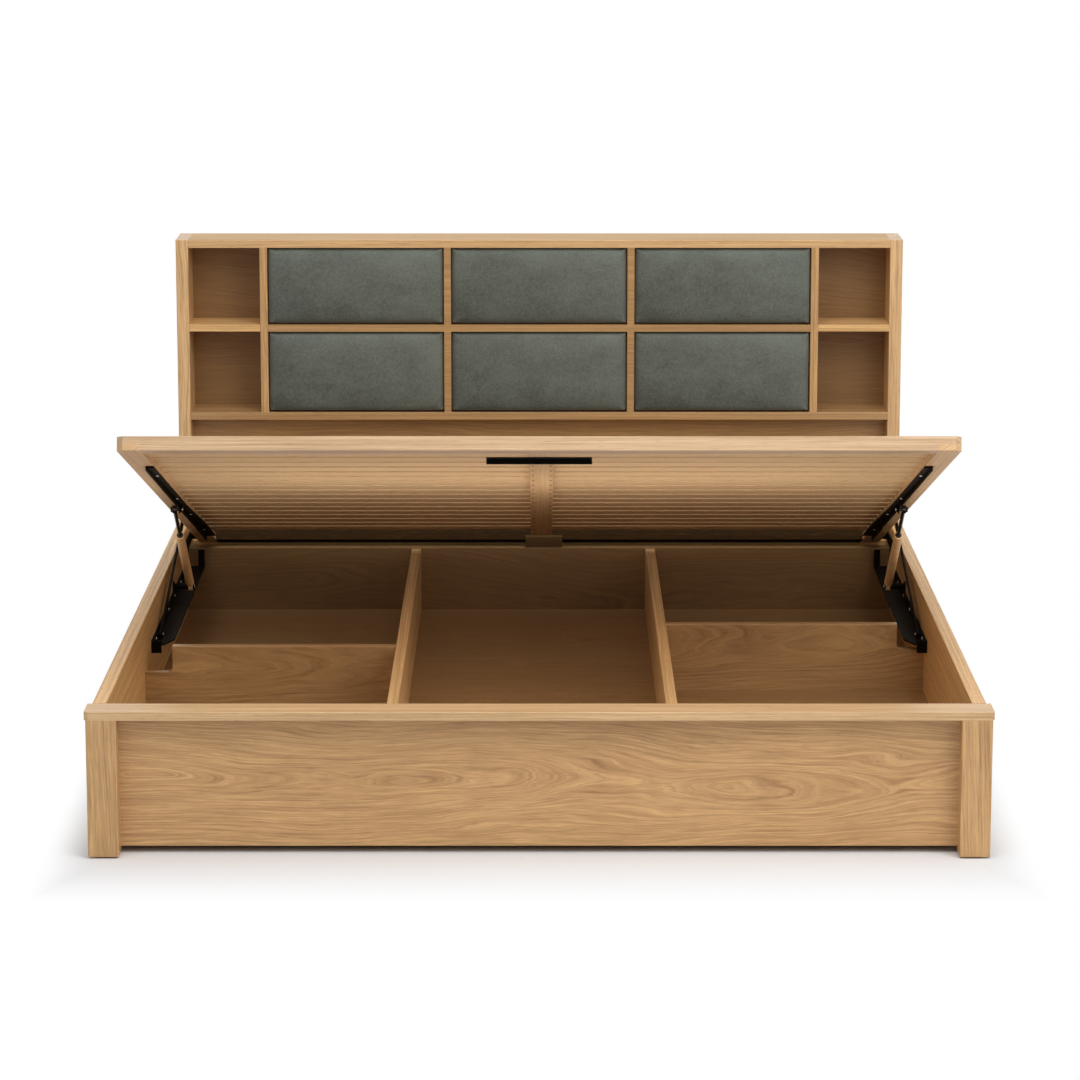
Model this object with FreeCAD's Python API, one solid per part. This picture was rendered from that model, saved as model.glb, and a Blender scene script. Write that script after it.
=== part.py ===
import FreeCAD, Part
import math
import os

# Storage bed with an upholstered headboard and a slatted lid that lifts on two gas struts.
# Millimetres. X runs to the right seen from the foot end, Y from the foot end to the headboard,
# Z up. The model is built with Y = 0 at the footboard's front face and moved to its centre at the end.

# Outer size
overall_width = 1900.0
overall_length = 2305.0
headboard_height = 1042.5
bed_height = 316.0

# Footboard
cap_depth = 80.0
cap_thickness = 18.0
cap_corner_radius = 12.0
leg_width = 64.0
leg_inset = 4.0
panel_thickness = 25.0
panel_recess = 45.0
panel_floor_gap = 16.0
board_edge_radius = 2.0

# Side rails and box
rail_inset = 10.0
rail_thickness = 30.0
rail_floor_gap = 20.0
board_thickness = 25.0
lid_recess = 25.0
lid_thickness = 30.0
lid_rest_clearance = 1.0
storage_depth = 220.0
rear_board_setback = 135.0
divider_left_x = -318.0
divider_right_x = 287.0
divider_left_cross_y = 896.0
divider_right_cross_y = 1131.0
divider_clearance = 5.0
notch_width = 64.0
notch_depth = 62.0
rest_block_width = 95.0
rest_block_height = 28.0
rest_block_offset = 12.0

# Floor of the box
floor_thickness = 12.0
floor_seam_front_y = 700.0
floor_seam_rear_y = 1338.0
ledger_size = 25.0
bearer_width = 70.0
bearer_height = 30.0
foot_radius = 22.0
foot_spread = 440.0
foot_taper_share = 0.8
glide_radius = 12.0
glide_thickness = 4.0

# Lid
lid_side_gap = 22.5
lid_front_gap = 6.0
lid_rear_gap = 15.0
lid_end_member_width = 60.0
lid_rear_member_width = 85.0
lid_side_member_width = 48.0
lid_corner_chamfer = 13.0
slat_width = 70.0
slat_thickness = 15.0
slat_pitch = 95.0
slat_bearing_length = 20.0
slat_edge_radius = 3.0
slat_front_gap = 14.0
slat_rear_gap = 22.0
beam_width = 54.0
beam_thickness = 14.0
beam_offset = 6.0
pull_width = 226.0
pull_reach = 24.0
pull_drop = 13.0
pull_sheet = 2.5
pull_setback = 93.0
pull_flare = 5.0

# Lid hinge
open_angle = 16.7
hinge_setback = 55.0
hinge_bush_radius = 10.0
hinge_pin_radius = 6.0
hinge_pin_end_gap = 1.0
hinge_plate_thickness = 3.0
hinge_plate_length = 96.0
hinge_plate_height = 26.0
hinge_plate_overhang = 34.0
tongue_radius = 13.0
tongue_rise_width = 40.0
running_gap = 0.05
side_gap = 0.3

# Steel of the lift
bar_thickness = 4.0
bar_height = 24.0
bar_top_depth = 82.0
bar_front_reach = 1064.0
bar_rear_reach = 96.0
bar_foot_length = 54.0
bar_foot_drop = 5.0
bar_lip = 45.0
bar_foot_lip = 24.0
post_width = 16.0
post_clearance = 4.0
strut_ear_radius = 12.0
bolt_radius = 4.0
bolt_head_radius = 7.0
bolt_head_thickness = 4.0
bracket_screw_count = 6
screw_radius = 4.5
screw_head_thickness = 1.6
screw_face_share = 0.7

# Stay arm
stay_pivot_reach = 949.0
stay_pivot_drop = 92.0
stay_pin_reach = 350.0
stay_arm_thickness = 4.0
stay_arm_height = 14.0
stay_arm_gap = 5.0
stay_slot_gap = 2.9

# Gas strut
strut_x_inset = 44.0
strut_base_reach = 500.0
strut_base_drop = 70.0
strut_top_reach = 918.0
strut_top_drop = 11.5
tube_radius = 10.5
tube_wall = 2.0
tube_start = 22.0
strut_end_gap = 100.0
tube_guide_length = 12.0
rod_radius = 4.5
piston_length = 8.0
piston_margin = 2.0
eye_radius = 10.0
eye_thickness = 10.0
neck_radius = 4.8

# Lid bracket
bracket_sheet = 3.0
bracket_front_reach = 1725.0
bracket_rear_reach = 170.0
bracket_wide_reach = 470.0
bracket_flare_reach = 900.0
bracket_front_drop = 10.0
bracket_middle_drop = 12.0
bracket_rear_drop = 14.0
bracket_deep_reach = 1100.0
bracket_lip = 18.0
bracket_wide_lip = 26.0
bracket_tube_gap = 0.5

# Corner brackets and bolts
corner_leg = 42.0
corner_sheet = 3.0
corner_height = 120.0
corner_floor_gap = 8.0

# Headboard
headboard_depth = 150.0
headboard_side_thickness = 32.0
headboard_top_thickness = 20.0
upright_thickness = 20.0
niche_width = 184.0
muntin_width = 18.0
muntin_depth = 52.0
row_shelf_thickness = 18.0
upper_row_height = 200.8
lower_row_height = 212.2
bottom_shelf_thickness = 20.0
back_panel_thickness = 12.0
back_panel_inset = 8.0
lower_panel_thickness = 18.0
lower_panel_recess = 60.0
lower_rail_thickness = 25.0
lower_rail_height = 190.0
lower_rail_floor_gap = 60.0
backing_thickness = 12.0

# Pads
pad_gap = 1.5
pad_proud = 3.0
pad_corner_radius = 9.0
pad_draw_in = 1.6
pad_back_inset = 3.0
pad_depth_shares = (0.0, 0.16, 0.55, 0.78, 0.88, 0.94, 0.975, 1.0)
pad_inset_shares = (1.0, 0.15, 0.0, 0.45, 1.5, 3.4, 7.0, 14.0)

# Places worked out from the sizes above
half_width = overall_width / 2
rail_outer_x = half_width - rail_inset
rail_inner_x = rail_outer_x - rail_thickness
leg_outer_x = half_width - leg_inset
leg_inner_x = leg_outer_x - leg_width
cap_underside_z = bed_height - cap_thickness
headboard_front_y = overall_length - headboard_depth
hinge_y = headboard_front_y - hinge_setback
rear_board_y = headboard_front_y - rear_board_setback
lid_top_z = bed_height - lid_recess
lid_bottom_z = lid_top_z - lid_thickness
divider_top_z = lid_bottom_z - divider_clearance
lid_middle_z = lid_bottom_z + lid_thickness / 2
lid_half_x = rail_inner_x - lid_side_gap
lid_inner_x = lid_half_x - lid_side_member_width
lid_front_y = cap_depth + lid_front_gap
lid_front_inner_y = lid_front_y + lid_end_member_width
lid_rear_y = headboard_front_y - lid_rear_gap
lid_rear_inner_y = lid_rear_y - lid_rear_member_width
box_top_z = lid_bottom_z - lid_rest_clearance
floor_top_z = bed_height - storage_depth
floor_bottom_z = floor_top_z - floor_thickness
front_board_rear_y = cap_depth + board_thickness
rear_board_rear_y = rear_board_y + board_thickness
hinge_z = lid_middle_z
bar_top_z = bed_height - bar_top_depth
bar_front_y = hinge_y - bar_front_reach
bar_rear_y = hinge_y - bar_rear_reach
bar_bottom_z = bar_top_z - bar_height
bar_inner_x = rail_inner_x - bar_thickness
stay_pivot_y = hinge_y - stay_pivot_reach
stay_pivot_z = bed_height - stay_pivot_drop
stay_pin_y = hinge_y - stay_pin_reach
stay_outer_x = bar_inner_x - stay_arm_gap
stay_inner_x = stay_outer_x - stay_arm_thickness
strut_x = rail_inner_x - strut_x_inset
strut_base_y = hinge_y - strut_base_reach
strut_base_z = bed_height - strut_base_drop
strut_top_y = hinge_y - strut_top_reach
strut_top_z = lid_bottom_z - strut_top_drop
bracket_outer_x = strut_x - tube_radius - bracket_tube_gap
bracket_front_y = hinge_y - bracket_front_reach
bracket_deep_y = hinge_y - bracket_deep_reach
bracket_wide_y = hinge_y - bracket_wide_reach
bracket_flare_y = hinge_y - bracket_flare_reach
bracket_rear_y = hinge_y - bracket_rear_reach
strut_closed_length = math.hypot(strut_top_y - strut_base_y, strut_top_z - strut_base_z)
tube_end = strut_closed_length - strut_end_gap
beam_bottom_z = lid_top_z - slat_thickness - beam_thickness
headboard_side_inner_x = rail_outer_x - headboard_side_thickness
headboard_top_z = headboard_height - headboard_top_thickness
row_shelf_top_z = headboard_top_z - upper_row_height
row_shelf_height = row_shelf_top_z - row_shelf_thickness
bottom_shelf_top_z = row_shelf_height - lower_row_height
bottom_shelf_height = bottom_shelf_top_z - bottom_shelf_thickness
back_panel_rear_y = overall_length - back_panel_inset
back_panel_front_y = back_panel_rear_y - back_panel_thickness
upright_outer_x = headboard_side_inner_x - niche_width
upright_inner_x = upright_outer_x - upright_thickness
muntin_rear_y = headboard_front_y + muntin_depth
backing_front_y = muntin_rear_y - backing_thickness
pad_opening = (2 * upright_inner_x - 2 * muntin_width) / 3
muntin_x = pad_opening / 2 + muntin_width / 2

parts = {}


def slab(x_range, y_range, z_range):
    """Board between three pairs of limits."""
    size = [high - low for low, high in (x_range, y_range, z_range)]
    corner = FreeCAD.Vector(x_range[0], y_range[0], z_range[0])
    return Part.makeBox(*size, corner)


def straight_edges(shape, axis, keep=None):
    """Straight edges along an axis (0, 1 or 2), filtered by a test on their midpoint."""
    found = []
    for edge in shape.Edges:
        first, last = (vertex.Point for vertex in edge.Vertexes)
        run = (last - first).normalize()
        if abs(abs(run[axis]) - 1) < 1e-6 and (keep is None or keep((first + last) / 2)):
            found.append(edge)
    return found


def eased(shape, axis, radius=board_edge_radius, keep=None):
    """Board whose edges along one axis are rounded."""
    return shape.makeFillet(radius, straight_edges(shape, axis, keep))


def rod_along(start, direction, length, radius):
    """Cylinder from a point along a direction."""
    return Part.makeCylinder(radius, length, start, direction)


def across(x_low, x_high, y, z, radius):
    """Cylinder along X."""
    return Part.makeCylinder(radius, x_high - x_low, FreeCAD.Vector(x_low, y, z), FreeCAD.Vector(1, 0, 0))


def hexagon(x_low, x_high, y, z, radius):
    """Hexagonal head or nut along X."""
    corners = []
    for step in range(6):
        turn = math.radians(60 * step)
        corners.append(FreeCAD.Vector(x_low, y + radius * math.cos(turn), z + radius * math.sin(turn)))
    face = Part.Face(Part.makePolygon(corners + corners[:1]))
    return face.extrude(FreeCAD.Vector(x_high - x_low, 0, 0))


def side_plate(outline, x_low, x_high):
    """Plate in a Y-Z plane from an outline of (y, z) points."""
    corners = [FreeCAD.Vector(x_low, y, z) for y, z in outline]
    face = Part.Face(Part.makePolygon(corners + corners[:1]))
    return face.extrude(FreeCAD.Vector(x_high - x_low, 0, 0))


def mirrored(shape):
    """Same piece on the other side of the bed."""
    return shape.mirror(FreeCAD.Vector(0, 0, 0), FreeCAD.Vector(1, 0, 0))


def opened(shape):
    """Piece of the flat lid, turned up to the open lid's place."""
    turned = shape.copy()
    turned.rotate(FreeCAD.Vector(0, hinge_y, hinge_z), FreeCAD.Vector(1, 0, 0), -open_angle)
    return turned


def opened_point(y, z):
    """Place of a point of the flat lid once the lid is open."""
    turn = math.radians(open_angle)
    back, up = y - hinge_y, z - hinge_z
    return (hinge_y + back * math.cos(turn) + up * math.sin(turn),
            hinge_z - back * math.sin(turn) + up * math.cos(turn))


def add(name, *solids):
    """Keeps a sub-part as one solid or as a group of separate solids."""
    parts[name] = solids[0] if len(solids) == 1 else Part.makeCompound(list(solids))


def add_pair(name, left):
    """Keeps a piece and its mirror image as two sub-parts."""
    add(name + "_left", left)
    add(name + "_right", mirrored(left))


def footboard():
    """Cap, two legs and the recessed panel of the foot end."""
    cap = slab((-half_width, half_width), (0, cap_depth), (cap_underside_z, bed_height))
    cap = eased(cap, 2, cap_corner_radius, lambda middle: middle.y < cap_depth / 2)
    top = [edge for edge in cap.Edges if edge.BoundBox.ZMin > bed_height - board_edge_radius]
    add("footboard_cap", cap.makeFillet(board_edge_radius, top))
    leg = slab((-leg_outer_x, -leg_inner_x), (0, cap_depth), (glide_thickness, cap_underside_z))
    add_pair("leg_front", eased(leg, 2))
    panel_z = (panel_floor_gap, cap_underside_z)
    panel_y = (panel_recess, panel_recess + panel_thickness)
    add("footboard_panel", slab((-leg_inner_x, leg_inner_x), panel_y, panel_z))


def box_sides():
    """Side rails and the two boards across the box."""
    rail_y = (cap_depth, headboard_front_y)
    rail = slab((-rail_outer_x, -rail_inner_x), rail_y, (rail_floor_gap, bed_height))
    add_pair("side_rail", eased(rail, 1))
    across_x = (-rail_inner_x, rail_inner_x)
    add("front_cross_board", slab(across_x, (cap_depth, front_board_rear_y), (rail_floor_gap, box_top_z)))
    rear = slab(across_x, (rear_board_y, rear_board_rear_y), (rail_floor_gap, box_top_z))
    add("rear_cross_board", eased(rear, 0, keep=lambda middle: middle.z > floor_top_z))


def dividers():
    """Two long dividers and a shorter one across each outer compartment."""
    half = board_thickness / 2
    long_y = (front_board_rear_y, rear_board_y)
    z = (floor_top_z, divider_top_z)
    for name, x in (("left", divider_left_x), ("right", divider_right_x)):
        board = slab((x - half, x + half), long_y, z)
        add("divider_long_" + name, eased(board, 1, keep=lambda middle: middle.z > floor_top_z + half))
    notch_z = (divider_top_z - notch_depth, bed_height)
    left_y = (divider_left_cross_y - half, divider_left_cross_y + half)
    left = slab((-rail_inner_x, divider_left_x - half), left_y, z)
    left = left.cut(slab((-rail_inner_x, notch_width - rail_inner_x), left_y, notch_z))
    add("divider_cross_left", notch_eased(left))
    right_y = (divider_right_cross_y - half, divider_right_cross_y + half)
    right = slab((divider_right_x + half, rail_inner_x), right_y, z)
    right = right.cut(slab((rail_inner_x - notch_width, rail_inner_x), right_y, notch_z))
    add("divider_cross_right", notch_eased(right))


def notch_eased(board):
    """Divider whose notch has a rounded foot and whose top edges are eased."""
    at_notch = rail_inner_x - notch_width
    foot = divider_top_z - notch_depth

    def inner_corner(middle):
        return abs(abs(middle.x) - at_notch) < board_edge_radius and abs(middle.z - foot) < board_edge_radius

    board = eased(board, 1, board_thickness / 2, inner_corner)
    return eased(board, 0, keep=lambda middle: abs(middle.z - divider_top_z) < board_edge_radius)


def rest_block():
    """Block on the rear board that stands in the closed lid's rear opening."""
    x = (rest_block_offset - rest_block_width / 2, rest_block_offset + rest_block_width / 2)
    z = (box_top_z, box_top_z + rest_block_height)
    block = slab(x, (rear_board_y, rear_board_rear_y), z)
    add("centre_rest_block", eased(block, 0, keep=lambda middle: middle.z > z[0] + board_edge_radius))


def box_floor():
    """Three floor boards, the ledgers and bearers under them, and the centre feet."""
    seams = (front_board_rear_y, floor_seam_front_y, floor_seam_rear_y, rear_board_y)
    across_x = (-rail_inner_x, rail_inner_x)
    for name, front, rear in zip(("front", "middle", "rear"), seams, seams[1:]):
        add("floor_board_" + name, slab(across_x, (front, rear), (floor_bottom_z, floor_top_z)))
    ledger_x = (-rail_inner_x, ledger_size - rail_inner_x)
    ledger_z = (floor_bottom_z - ledger_size, floor_bottom_z)
    ledger = slab(ledger_x, (front_board_rear_y, rear_board_y), ledger_z)
    add("floor_ledgers", ledger, mirrored(ledger))
    bearers, feet = [], []
    bearer_x = rail_inner_x - ledger_size
    bearer_bottom_z = floor_bottom_z - bearer_height
    for seam in seams[1:-1]:
        y = (seam - bearer_width / 2, seam + bearer_width / 2)
        bearers.append(slab((-bearer_x, bearer_x), y, (bearer_bottom_z, floor_bottom_z)))
        for x in (-foot_spread, foot_spread):
            base = FreeCAD.Vector(x, seam, 0)
            feet.append(Part.makeCone(foot_radius * foot_taper_share, foot_radius, bearer_bottom_z, base))
    add("floor_bearers", *bearers)
    add("centre_feet", *feet)


def glides():
    """Felt glides under the legs and the headboard's sides."""
    spots = []
    leg_x = (leg_inner_x + leg_outer_x) / 2
    side_x = (headboard_side_inner_x + rail_outer_x) / 2
    for x, y in ((leg_x, cap_depth / 2), (side_x, headboard_front_y + headboard_depth / 4),
                 (side_x, overall_length - headboard_depth / 4)):
        for side in (-x, x):
            spots.append(Part.makeCylinder(glide_radius, glide_thickness, FreeCAD.Vector(side, y, 0)))
    add("floor_glides", *spots)


def corner_bracket(x_face, y_face, x_sign, y_sign, z_low):
    """Steel angle in the corner of two boards, and the bolt heads that hold it."""
    x_in, y_in = x_face + x_sign * corner_leg, y_face + y_sign * corner_leg
    x_skin, y_skin = x_face + x_sign * corner_sheet, y_face + y_sign * corner_sheet
    z = (z_low, z_low + corner_height)
    on_rail = slab(sorted((x_face, x_skin)), sorted((y_face, y_in)), z)
    on_board = slab(sorted((x_face, x_in)), sorted((y_face, y_skin)), z)
    heads = []
    for share in (1 / 4, 3 / 4):
        height = z_low + corner_height * share
        x_far, y_far = x_skin + x_sign * bolt_head_thickness, y_skin + y_sign * bolt_head_thickness
        y_middle, x_middle = (y_skin + y_in) / 2, (x_skin + x_in) / 2
        heads.append(hexagon(*sorted((x_skin, x_far)), y_middle, height, bolt_head_radius))
        turned = Part.makeCylinder(bolt_head_radius, bolt_head_thickness,
                                   FreeCAD.Vector(x_middle, min(y_skin, y_far), height),
                                   FreeCAD.Vector(0, 1, 0))
        heads.append(turned)
    return on_rail.fuse(on_board).removeSplitter(), heads


def corners():
    """Angles that tie the rails to the front, rear and headboard boards."""
    low = rail_floor_gap + corner_floor_gap
    spots = ((front_board_rear_y, 1, floor_top_z + corner_floor_gap),
             (rear_board_rear_y, 1, low),
             (headboard_front_y, -1, lower_rail_floor_gap + corner_floor_gap))
    brackets, bolts = [], []
    for y_face, y_sign, z_low in spots:
        bracket, heads = corner_bracket(-rail_inner_x, y_face, 1, y_sign, z_low)
        brackets += [bracket, mirrored(bracket)]
        bolts += heads + [mirrored(head) for head in heads]
    add("corner_brackets", *brackets)
    add("corner_bolts", *bolts)


def flared_lip(edge_x, start_y, z_range):
    """Lip along the foot of the bar, narrow at its front end and wide behind it."""
    front_x = bar_foot_lip - rail_inner_x
    full_y = start_y + bar_foot_length
    outline = [(-rail_inner_x, start_y), (front_x, start_y), (edge_x, full_y), (edge_x, bar_rear_y),
               (-rail_inner_x, bar_rear_y)]
    corners = [FreeCAD.Vector(x, y, z_range[0]) for x, y in outline]
    face = Part.Face(Part.makePolygon(corners + corners[:1]))
    return face.extrude(FreeCAD.Vector(0, 0, z_range[1] - z_range[0]))


def base_bracket():
    """Steel angle on the rail with its foot, wide lip, rear post, riser and hinge tongue."""
    foot_y = bar_front_y + bar_foot_length
    foot_z = bar_bottom_z - bar_foot_drop
    riser_y = bar_rear_y - tongue_rise_width
    tongue_low, tongue_high = hinge_z - tongue_radius, hinge_z + tongue_radius
    outline = [(bar_front_y, foot_z), (foot_y, foot_z), (foot_y + bar_foot_drop, bar_bottom_z),
               (bar_rear_y, bar_bottom_z), (bar_rear_y, tongue_low), (hinge_y, tongue_low),
               (hinge_y, tongue_high), (riser_y, tongue_high), (riser_y, bar_top_z + tongue_radius),
               (riser_y - tongue_rise_width, bar_top_z), (bar_front_y, bar_top_z)]
    plate = side_plate(outline, -rail_inner_x, -bar_inner_x)
    plate = plate.fuse(across(-rail_inner_x, -bar_inner_x, hinge_y, hinge_z, tongue_radius))
    lip_edge_x = bar_lip - rail_inner_x
    lip_z = (bar_bottom_z, bar_bottom_z + bar_thickness)
    lip = flared_lip(lip_edge_x, foot_y + bar_foot_drop, lip_z)
    foot_x = (-rail_inner_x, bar_foot_lip - rail_inner_x)
    foot_lip = slab(foot_x, (bar_front_y, bar_front_y + bar_thickness), (foot_z, bar_top_z))
    post_z = (bar_bottom_z, lid_bottom_z - post_clearance)
    post = slab((lip_edge_x - post_width, lip_edge_x), (bar_rear_y - bar_thickness, bar_rear_y), post_z)
    ear = across(-rail_inner_x, -bar_inner_x, strut_base_y, strut_base_z, strut_ear_radius)
    ear_y = (strut_base_y - strut_ear_radius, strut_base_y + strut_ear_radius)
    ear_foot = slab((-rail_inner_x, -bar_inner_x), ear_y, (bar_bottom_z, strut_base_z))
    stay_stud = across(-bar_inner_x, -stay_inner_x, stay_pivot_y, stay_pivot_z, bolt_radius)
    stay_collar = across(-bar_inner_x, -stay_outer_x - side_gap, stay_pivot_y, stay_pivot_z, bolt_head_radius)
    strut_stud_end = -strut_x + eye_thickness / 2 + side_gap
    strut_stud = across(-bar_inner_x, strut_stud_end, strut_base_y, strut_base_z, bolt_radius)
    strut_collar_end = -strut_x - eye_thickness / 2 - side_gap
    strut_collar = across(-bar_inner_x, strut_collar_end, strut_base_y, strut_base_z, bolt_head_radius)
    strut_nut = hexagon(strut_stud_end, strut_stud_end + bolt_head_thickness, strut_base_y, strut_base_z,
                        bolt_head_radius)
    stay_nut = hexagon(-stay_inner_x + side_gap, -stay_inner_x + side_gap + bolt_head_thickness,
                       stay_pivot_y, stay_pivot_z, bolt_head_radius)
    stay_neck = across(-stay_inner_x, -stay_inner_x + side_gap, stay_pivot_y, stay_pivot_z, bolt_radius)
    extras = (lip, foot_lip, post, ear, ear_foot, stay_stud, stay_collar, stay_neck, stay_nut, strut_stud,
              strut_collar, strut_nut)
    for extra in extras:
        plate = plate.fuse(extra)
    return plate.removeSplitter()


def base_bracket_screws():
    """Screw heads along the bar."""
    heads = []
    middle_z = (bar_top_z + bar_bottom_z) / 2
    spacing = (bar_rear_y - bar_front_y) / bracket_screw_count
    for step in range(bracket_screw_count):
        y = bar_front_y + spacing * (step + 1 / 2)
        seat = FreeCAD.Vector(-bar_inner_x, y, middle_z)
        heads.append(Part.makeCone(screw_radius, screw_radius * screw_face_share, screw_head_thickness,
                                   seat, FreeCAD.Vector(1, 0, 0)))
    return heads


def lift_base():
    """Everything of the lift that is fixed to the rails."""
    add_pair("base_bracket", base_bracket())
    heads = base_bracket_screws()
    add("base_bracket_screws", *heads, *[mirrored(head) for head in heads])
    pin = across(-bar_inner_x, -lid_half_x - hinge_pin_end_gap, hinge_y, hinge_z, hinge_pin_radius)
    add("hinge_pins", pin, mirrored(pin))


def lid_members():
    """Frame of the lid, half-lapped at its four corners."""
    half_x = (-lid_half_x, lid_half_x)
    z = (lid_bottom_z, lid_top_z)
    lower = (lid_bottom_z, lid_middle_z)
    front = slab(half_x, (lid_front_y, lid_front_inner_y), z)
    rear = slab(half_x, (lid_rear_inner_y, lid_rear_y), z)
    for side in (-1, 1):
        lap_x = sorted((side * lid_inner_x, side * lid_half_x))
        front = front.cut(slab(lap_x, (lid_front_y, lid_front_inner_y), lower))
        rear = rear.cut(slab(lap_x, (lid_rear_inner_y, lid_rear_y), lower))
    side_x = (-lid_half_x, -lid_inner_x)
    member = slab(side_x, (lid_front_y, lid_rear_y), z)
    upper = (lid_middle_z, lid_top_z)
    for lap_y in ((lid_front_y, lid_front_inner_y), (lid_rear_inner_y, lid_rear_y)):
        member = member.cut(slab(side_x, lap_y, upper))
    rebate_x = (-lid_inner_x - slat_bearing_length, -lid_inner_x)
    member = member.cut(slab(rebate_x, (lid_front_inner_y, lid_rear_inner_y), (lid_top_z - slat_thickness, lid_top_z)))
    add("lid_front_member", opened(chamfered(front)))
    add("lid_rear_member", opened(rear))
    add_pair("lid_side_member", opened(chamfered(member)))


def chamfered(member):
    """Member with the lid's front corners cut off."""
    wedge = Part.makePolygon([FreeCAD.Vector(-lid_half_x, lid_front_y, lid_bottom_z),
                              FreeCAD.Vector(-lid_half_x + lid_corner_chamfer, lid_front_y, lid_bottom_z),
                              FreeCAD.Vector(-lid_half_x, lid_front_y + lid_corner_chamfer, lid_bottom_z),
                              FreeCAD.Vector(-lid_half_x, lid_front_y, lid_bottom_z)])
    corner = Part.Face(wedge).extrude(FreeCAD.Vector(0, 0, lid_thickness))
    return member.cut(corner).cut(mirrored(corner))


def slat_front_edges():
    """Front edge of each slat; the last slat stops ahead of the rear board."""
    first = lid_front_inner_y + slat_front_gap
    room = rear_board_y - slat_rear_gap - first - slat_width
    return [first + step * slat_pitch for step in range(int(room // slat_pitch) + 1)]


def slats():
    """Slats across the lid with rounded edges, all alike."""
    x = (-lid_inner_x - slat_bearing_length, lid_inner_x + slat_bearing_length)
    z = (lid_top_z - slat_thickness, lid_top_z)
    made = [slab(x, (y, y + slat_width), z) for y in slat_front_edges()]
    add("lid_slats", *[opened(eased(slat, 0, slat_edge_radius)) for slat in made])


def centre_beam():
    """Beam along the lid's centre, screwed under the slats from the front member to the last slat."""
    x = (beam_offset - beam_width / 2, beam_offset + beam_width / 2)
    top = lid_top_z - slat_thickness
    y = (lid_front_inner_y, slat_front_edges()[-1] + slat_width)
    beam = slab(x, y, (top - beam_thickness, top))
    add("lid_centre_beam", opened(eased(beam, 1, keep=lambda middle: middle.z < top - beam_thickness / 2)))


def pull():
    """Folded steel pull under the front end of the centre beam."""
    y_rear = lid_front_inner_y + pull_setback
    y_front = y_rear - pull_reach
    top, low = beam_bottom_z, beam_bottom_z - pull_drop
    outline = [(y_front, top), (y_rear, top), (y_rear, low), (y_rear - pull_flare, low),
               (y_rear - pull_flare, low + pull_sheet), (y_rear - pull_sheet, low + pull_sheet),
               (y_rear - pull_sheet, top - pull_sheet), (y_front, top - pull_sheet)]
    add("lid_pull", opened(side_plate(outline, -pull_width / 2, pull_width / 2)))


def lid_bracket():
    """Steel angle under the lid's side member, with its wide rear plate and the strut's nut."""
    skin_x = (-bracket_outer_x, bracket_sheet - bracket_outer_x)
    z = lid_bottom_z
    outline = [(bracket_front_y, z), (bracket_front_y, z - bracket_front_drop / 2),
               (bracket_front_y + bracket_front_drop, z - bracket_front_drop),
               (bracket_deep_y, z - bracket_middle_drop), (bracket_wide_y, z - bracket_middle_drop),
               (bracket_wide_y + bracket_rear_drop, z - bracket_rear_drop),
               (bracket_rear_y, z - bracket_rear_drop), (bracket_rear_y, z)]
    angle = side_plate(outline, *skin_x)
    top_z = (z - bracket_sheet, z)
    strip = slab((-bracket_outer_x, bracket_lip - bracket_outer_x), (bracket_front_y, bracket_rear_y), top_z)
    strip_x, wide_x = bracket_lip - bracket_outer_x, bracket_wide_lip - bracket_outer_x
    flare = [(strip_x, bracket_flare_y), (wide_x, bracket_wide_y), (wide_x, bracket_rear_y),
             (-bracket_outer_x, bracket_rear_y), (-bracket_outer_x, bracket_flare_y)]
    corners = [FreeCAD.Vector(x, y, top_z[0]) for x, y in flare]
    wide = Part.Face(Part.makePolygon(corners + corners[:1])).extrude(FreeCAD.Vector(0, 0, bracket_sheet))
    end = slab((-bracket_outer_x, bracket_lip - bracket_outer_x),
               (bracket_front_y, bracket_front_y + bracket_sheet), (z - bracket_front_drop / 2, z))
    nut = hexagon(skin_x[1], skin_x[1] + bolt_head_thickness, strut_top_y, strut_top_z, bolt_head_radius)
    ear = across(*skin_x, strut_top_y, strut_top_z, eye_radius)
    for extra in (strip, wide, end, ear, nut):
        angle = angle.fuse(extra)
    return opened(angle.removeSplitter())


def hinge_plate():
    """Plate on the lid's side with the bush that turns on the hinge pin."""
    x = (-lid_half_x - hinge_plate_thickness, -lid_half_x)
    rear = hinge_y + hinge_plate_overhang
    y = (rear - hinge_plate_length, rear)
    z = (hinge_z - hinge_plate_height / 2, hinge_z + hinge_plate_height / 2)
    plate = slab(x, y, z)
    plate = plate.makeFillet(hinge_plate_height / 4, straight_edges(plate, 0))
    bush = across(-bar_inner_x + side_gap, -lid_half_x, hinge_y, hinge_z, hinge_bush_radius)
    bore = across(-bar_inner_x, -lid_half_x, hinge_y, hinge_z, hinge_pin_radius + running_gap)
    return opened(plate.fuse(bush).cut(bore).removeSplitter())


def stay_pin():
    """Headed pin on the lid's side that runs in the stay arm's slot."""
    end = -stay_outer_x - side_gap - running_gap
    pin = across(end, -lid_half_x, stay_pin_y, hinge_z, bolt_radius)
    collar = across(-stay_inner_x + side_gap, -lid_half_x, stay_pin_y, hinge_z, bolt_head_radius)
    head = across(end - bolt_head_thickness / 2, end, stay_pin_y, hinge_z, bolt_head_radius)
    return opened(pin.fuse(collar).fuse(head).removeSplitter())


def lid_steel():
    """Steel parts that move with the lid."""
    add_pair("lid_bracket", lid_bracket())
    plate, pin = hinge_plate(), stay_pin()
    add("lid_hinge_plates", plate, mirrored(plate))
    add("stay_pins", pin, mirrored(pin))


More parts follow.
